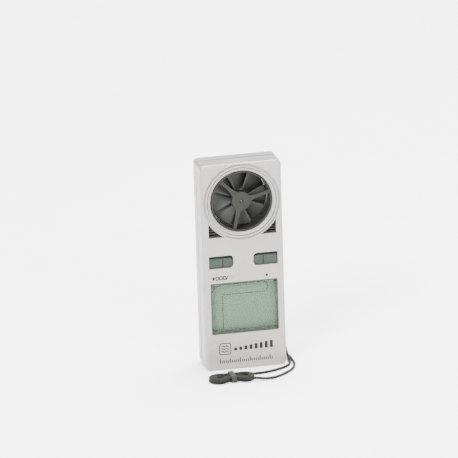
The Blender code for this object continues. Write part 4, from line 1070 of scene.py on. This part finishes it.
def strength_bars():
    marks = []
    for index in range(BAR_COUNT):
        x = -4.4 + BAR_PITCH * index
        bar = rectangle((x - 0.66, x + 0.66), (8.0, 8.0 + 1.25 + 0.27 * index), 0.3, 4)
        marks.append(slab("strength_mark", bar, MARK_Y))
    return marks


def tick_scale():
    """A row of ticks, every fifth one tall."""
    marks = []
    for index in range(TICK_COUNT):
        x = -11.0 + TICK_PITCH * index
        tall = 2.0 if index % 5 == 0 else 1.2
        tick = rectangle((x - 0.21, x + 0.21), (2.95, 2.95 + tall), 0.1, 2)
        marks.append(slab("tick_mark", tick, MARK_Y))
    return marks


def mode_boxes():
    """A filled box and three open ones, closed off by a slash."""
    marks = []
    for index in range(MODE_COUNT):
        x = -12.75 + MODE_PITCH * index
        box = rectangle((x - 0.52, x + 0.52), (38.95, 40.25), 0.10, 3)
        if index:
            marks.append(strip("mode_mark", box, 0.20, MARK_Y, closed=True))
        else:
            marks.append(slab("mode_mark", box, MARK_Y))
    marks.append(strip("mode_line", [(-7.35, 38.75), (-6.75, 40.5)], 0.17, MARK_Y))
    return marks


def make_front_marks():
    """Generic printed marks, with no letter or digit among them."""
    dark = wind_symbol() + strength_bars() + tick_scale() + mode_boxes()
    dark.append(slab("power_mark", circle(POWER_DOT, 0.58, 24), MARK_Y))
    marks = join(dark[0], dark[1:])
    marks.name = "front_marks"
    finish_piece(marks, "case", DARK_INK)
    rays = [strip("ray_mark", ray, 0.10, MARK_Y)
            for ray in zip(circle(LAMP, 0.80, 8), circle(LAMP, 1.12, 8))]
    lamp = join(strip("lamp_mark", circle(LAMP, 0.48, 30), 0.13, MARK_Y, closed=True), rays)
    finish_piece(lamp, "case", RED_INK)


# ---------------------------------------------------------------- battery and its cover

def cover_cuts():
    """The coin slot, a thumb well, two turning arrows and an index mark."""
    slot = rectangle((-6.0, 6.0), (CELL[1] - 0.8, CELL[1] + 0.8), 0.78, 10)
    dimple = softened([(0, BACK_Y - 0.45), (2.6, BACK_Y - 0.4), (3.6, BACK_Y + 0.4),
                       (0, BACK_Y + 0.4)], 0.5)
    cuts = [slab("coin_slot", slot, (BACK_Y - 0.9, PAST_BACK)),
            lathe("thumb_well", dimple, CELL, 64)]
    for start in TURN_ARROWS:
        band = arc(CELL, 8.6, start, start + 55, 20) + arc(CELL, 8.1, start + 55, start, 20)
        cuts.append(slab("turn_mark", band, ENGRAVED))
        tip = arc(CELL, 8.35, start - 9, start - 9, 1)[0]
        wings = [arc(CELL, radius, start + 1, start + 1, 1)[0] for radius in (7.35, 9.35)]
        cuts.append(slab("turn_head", [tip, wings[1], wings[0]], ENGRAVED))
    index_mark = [(-0.55, CELL[1] + 10.3), (0.55, CELL[1] + 10.3), (0, CELL[1] + 9.2)]
    cuts.append(slab("index_mark", index_mark, ENGRAVED))
    return cuts


def make_battery_cover():
    front = COVER[1][0]
    face = BACK_Y - 0.02
    profile = [(0, front), (10.4, front), (10.7, front + 0.3), (10.7, 6.4), (COVER_RADIUS, 6.4),
               (COVER_RADIUS, BACK_Y - 0.3), (COVER_RADIUS - 0.35, face), (11.35, face),
               (11.2, BACK_Y - 0.2), (10.95, BACK_Y - 0.2), (10.8, face), (0, face)]
    cover = lathe("cover", softened(profile, 0.1), CELL, 128)
    carve(cover, cover_cuts())
    round_over(cover, 0.08, 2, 38)
    finish_piece(cover, "battery_cover", CASE_PAINT, ["battery_cover"])
    seal = lathe("cover_ring", circle((SEAL_MAJOR, SEAL_Y), SEAL_MINOR, 20), CELL, 128, closed=True)
    finish_piece(seal, "cover_seal", SEAL_RUBBER, ["cover_seal"])


def make_coin_cell():
    front, back = span("coin_cell")[1]
    profile = [(0, front), (8.3, front), (8.5, front + 0.35), (9.3, front + 0.35),
               (CELL_RADIUS, front + 0.9), (CELL_RADIUS, back - 0.35), (9.65, back), (9.0, back),
               (8.85, back - 0.08), (0, back - 0.08)]
    cell = lathe("cell", softened(profile, 0.18), CELL)
    cuts = []
    for half in ((1.5, 0.3), (0.3, 1.5)):
        outline = rectangle((-half[0], half[0]), (CELL[1] + 5.0 - half[1], CELL[1] + 5.0 + half[1]),
                            0.15, 3)
        cuts.append(slab("polarity", outline, (back - 0.2, back + 1)))
    carve(cell, cuts)
    finish_piece(cell, "case", CELL_STEEL, ["coin_cell"])


# ---------------------------------------------------------------- lanyard

CORD_RADIUS = 0.55
LEAD_OUT = ((13.5, 4.1, 6.5), (14.75, 3.29, 6.5), (16.2, 3.0, 6.5), (17.2, 3.0, 6.5),
            (18.4, 2.4, 5.2), (18.8, 0.3, 2.2), (18.7, -3.5, 0.65), (18.0, -8.0, 0.56),
            (15.5, -11.6, 0.56), (11.5, -14.3, 0.56), (7.0, -16.2, 0.56), (3.0, -16.9, 0.56),
            (-0.3, -16.95, 0.56))
LEAD_BACK = ((-0.3, -25.95, 1.7), (4.0, -25.7, 0.95), (8.5, -24.0, 0.62), (13.0, -20.5, 0.56),
             (17.3, -15.5, 0.56), (19.6, -9.5, 0.56), (20.0, -3.0, 0.56), (19.8, 3.0, 0.56),
             (18.5, 6.8, 0.7), (16.4, 8.5, 2.0), (13.9, 9.0, 4.4), (12.5, 8.2, 6.2),
             (12.4, 6.8, 6.5), (12.7, 5.35, 6.5))
HANK_Y = -21.45
HANK_X = (-14.55, -3.85)
HANK_OUTER = 4.5
HANK_INNER = 2.2
HANK_PITCH = 1.15
TIE_X = -9.2


def smooth_between(value, low, high):
    share = min(1.0, max(0.0, (value - low) / (high - low)))
    return share * share * (3 - 2 * share)


def hank_point(turn):
    """A point of the hank after a number of turns: inwards low down, then outwards on top."""
    if turn < 2.0:
        radius = HANK_OUTER - HANK_PITCH * turn
    else:
        radius = HANK_INNER + HANK_PITCH * max(0.0, turn - 2.75)
    height = 0.56 + 1.14 * smooth_between(turn, 2.0, 2.4)
    phase = turn % 1.0 * 4
    run = phase % 1.0
    if phase < 1:
        x, offset = HANK_X[1] + (HANK_X[0] - HANK_X[1]) * run, radius
    elif phase < 2:
        x, offset = HANK_X[0] - radius * sin(pi * run), radius * cos(pi * run)
    elif phase < 3:
        x, offset = HANK_X[0] + (HANK_X[1] - HANK_X[0]) * run, -radius
    else:
        x, offset = HANK_X[1] + radius * sin(pi * run), -radius * cos(pi * run)
    gathered = 1 - smooth_between(abs(x - TIE_X), 1.4, 5.2)
    if phase < 1 or 2 <= phase < 3:
        offset -= (1.62 if offset > 0 else -1.62) * gathered
        height += 0.42 * gathered
    return Vector((x, HANK_Y + offset, height))


def through(points, fineness=20):
    """A Catmull-Rom line through the points."""
    knots = [Vector(point) for point in points]
    knots = [2 * knots[0] - knots[1]] + knots + [2 * knots[-1] - knots[-2]]
    fine = []
    for before, start, end, after in zip(knots, knots[1:], knots[2:], knots[3:]):
        for index in range(fineness):
            t = index / fineness
            fine.append(0.5 * (2 * start + (end - before) * t
                               + (2 * before - 5 * start + 4 * end - after) * t * t
                               + (3 * start - before - 3 * end + after) * t ** 3))
    return fine + [knots[-2]]


def evenly(points, gap):
    """The same line with its points an even distance apart."""
    total = sum((b - a).length for a, b in zip(points, points[1:]))
    count = ceil(total / gap)
    picked = [points[0]]
    travelled = 0.0
    for a, b in zip(points, points[1:]):
        length = (b - a).length
        while len(picked) < count and travelled + length >= total * len(picked) / count:
            share = (total * len(picked) / count - travelled) / length
            picked.append(a.lerp(b, share))
        travelled += length
    return picked + [points[-1]]


def tube(name, points, radius, sides=16):
    """A round tube along a line, with u round it and v along it in metres."""
    shape = bmesh.new()
    chart = shape.loops.layers.uv.new("route")
    along = [(points[min(i + 1, len(points) - 1)] - points[max(i - 1, 0)]).normalized()
             for i in range(len(points))]
    side = along[0].orthogonal().normalized()
    rings = []
    for point, heading in zip(points, along):
        side = (side - heading * side.dot(heading)).normalized()
        other = heading.cross(side)
        rings.append([shape.verts.new(point + radius * (side * cos(2 * pi * step / sides)
                                                        + other * sin(2 * pi * step / sides)))
                      for step in range(sides)])
    travelled = 0.0
    for index, (first, second) in enumerate(zip(rings, rings[1:])):
        length = (points[index + 1] - points[index]).length * MM
        for step in range(sides):
            after = (step + 1) % sides
            face = shape.faces.new((first[step], first[after], second[after], second[step]))
            marks = ((step, 0), (step + 1, 0), (step + 1, 1), (step, 1))
            for loop, (around, end) in zip(face.loops, marks):
                loop[chart].uv = (around / sides, travelled + length * end)
        travelled += length
    shape.faces.new(rings[0][::-1])
    shape.faces.new(rings[-1])
    return new_object(name, shape)


def cord_line():
    wound = [hank_point(4.75 * index / 380) for index in range(381)]
    line = through(LEAD_OUT) + wound + through(LEAD_BACK)
    line = evenly(line, 0.45)
    for _ in range(6):
        line = ([line[0]] + [(a + 2 * b + c) / 4 for a, b, c in zip(line, line[1:], line[2:])]
                + [line[-1]])
    for point in line:
        point.z = max(point.z, CORD_RADIUS + 0.01)
    return line


def make_lanyard():
    line = cord_line()
    lanyard = tube("lanyard", line, CORD_RADIUS)
    finish_piece(lanyard, "case", CORD_BRAID, ["lanyard_cord", "lanyard_hank"], 80)
    limits = span("lanyard_tie")
    inner = rectangle((-25.25, -17.65), (0.40, 2.70), 0.6, 8)
    outer = rectangle(limits[1], limits[2], 0.95, 8)
    band = slab("tie", outer, (limits[0][0] + 0.15, limits[0][1] - 0.15), "X")
    carve(band, [slab("tie_room", inner, (limits[0][0] - 1, limits[0][1] + 1), "X")])
    round_over(band, 0.12, 3, 38)
    finish_piece(band, "case", TIE_BAND, ["lanyard_tie"])


# ---------------------------------------------------------------- carried-over nodes

def dress(node, material, width=0.12, segments=2):
    """Give a frame node its material and rounded edges."""
    obj = nodes[node]
    obj.data.materials.clear()
    obj.data.materials.append(material)
    for polygon in obj.data.polygons:
        polygon.material_index = 0
    if width:
        bevel = obj.modifiers.new("round_over", "BEVEL")
        bevel.width = width * MM
        bevel.segments = segments
        bevel.limit_method = "ANGLE"
        bevel.angle_limit = radians(40)
        weighted = obj.modifiers.new("even_normals", "WEIGHTED_NORMAL")
        weighted.keep_sharp = True


def dress_nodes():
    """The frame's own nodes that stay, each with its material."""
    for node in ("case_gasket", "duct_gasket"):
        dress(node, SEAL_RUBBER, 0.08)
    dress("display_glass", DISPLAY, 0.1)
    dress("display_holder", WHITE_PLASTIC, 0.1)
    dress("backlight_panel", BACKLIGHT, 0.1)
    for node in ("contact_strip_lower", "contact_strip_upper"):
        dress(node, SEAL_RUBBER, 0.1)
    for word in ("left", "right"):
        dress(f"switch_housing_{word}", CHIP_RESIN, 0.15)
        dress(f"switch_plunger_{word}", WHITE_PLASTIC, 0.1)
    dress("circuit_board", BOARD, 0.08)
    for node in ("processor", "rotation_sensor", "smoothing_capacitor", "thermistor"):
        dress(node, CHIP_RESIN, 0.1)
    dress("timing_crystal", STEEL, 0.1)
    for word in ("negative", "positive"):
        dress(f"battery_contact_{word}", BRASS, 0.06)


# ---------------------------------------------------------------- floor, light and camera

def make_floor():
    shape = bmesh.new()
    bmesh.ops.create_grid(shape, x_segments=2, y_segments=2, size=3000.0)
    floor = new_object("floor", shape)
    floor.data.transform(Matrix.Scale(MM, 4))
    n = Nodes("floor_paper")
    paper = ((0.3, (0.93, 0.93, 0.935)), (0.7, (0.95, 0.95, 0.955)))
    n.set(Base_Color=n.tint(n.noise(30.0, 3.0), paper))
    n.set(Roughness=0.9, Specular_IOR_Level=0.2)
    floor.data.materials.append(n.material)


def area_light(name, place, aim, size, power, colour=(1.0, 1.0, 1.0)):
    light = bpy.data.lights.new(name, "AREA")
    light.shape = "DISK"
    light.size = size
    light.energy = power
    light.color = colour
    obj = bpy.data.objects.new(name, light)
    obj.location = place
    obj.rotation_euler = (Vector(aim) - Vector(place)).to_track_quat("-Z", "Y").to_euler()
    bpy.context.scene.collection.objects.link(obj)


def make_lights():
    world = bpy.data.worlds.new("studio")
    world.use_nodes = True
    background = world.node_tree.nodes["Background"]
    background.inputs["Color"].default_value = (0.93, 0.95, 1.0, 1.0)
    background.inputs["Strength"].default_value = 0.95
    bpy.context.scene.world = world
    aim = (0.0, 0.0, 0.045)
    area_light("key", (-0.75, -0.95, 1.0), aim, 0.5, 54.0, (1.0, 0.985, 0.96))
    area_light("top", (0.15, 0.25, 1.5), aim, 1.3, 102.0)
    area_light("fill", (0.25, -1.3, 0.55), aim, 1.0, 25.0)
    area_light("rim", (0.8, 0.75, 0.7), aim, 0.6, 10.0)


def make_camera():
    """A long lens from the left and above, with the duct's mouth set off the view's middle."""
    azimuth = radians(-12.0)
    elevation = radians(17.0)
    roll = radians(-1.8)
    distance = 3.0
    across = 0.1872                # width of the view at the meter, in metres
    opening_right = 0.005232       # the duct's mouth from the middle of the view, in metres
    opening_up = 0.011158
    data = bpy.data.cameras.new("camera")
    data.sensor_width = 36.0
    data.lens = 36.0 * distance / across
    data.clip_start = 0.05
    data.clip_end = 50.0
    camera = bpy.data.objects.new("camera", data)
    bpy.context.scene.collection.objects.link(camera)
    back = Vector((sin(azimuth) * cos(elevation), -cos(azimuth) * cos(elevation), sin(elevation)))
    turn = back.to_track_quat("Z", "Y").to_matrix() @ Matrix.Rotation(roll, 3, "Z")
    opening = Vector((DUCT[0] * MM, RING_Y * MM, DUCT[1] * MM))
    aim = opening - turn.col[0] * opening_right - turn.col[1] * opening_up
    camera.matrix_world = Matrix.Translation(aim + back * distance) @ turn.to_4x4()
    bpy.context.scene.camera = camera


for make in (make_camera, make_lights, make_floor, make_lanyard, make_front_shell, make_rear_shell,
             make_screws, make_cartridge_frame, make_rear_spider, make_bearings, make_impeller,
             make_shaft, make_vent_grilles, make_buttons, make_window, make_display_frame,
             make_display_marks, make_front_marks, make_battery_cover, make_coin_cell, dress_nodes):
    make()
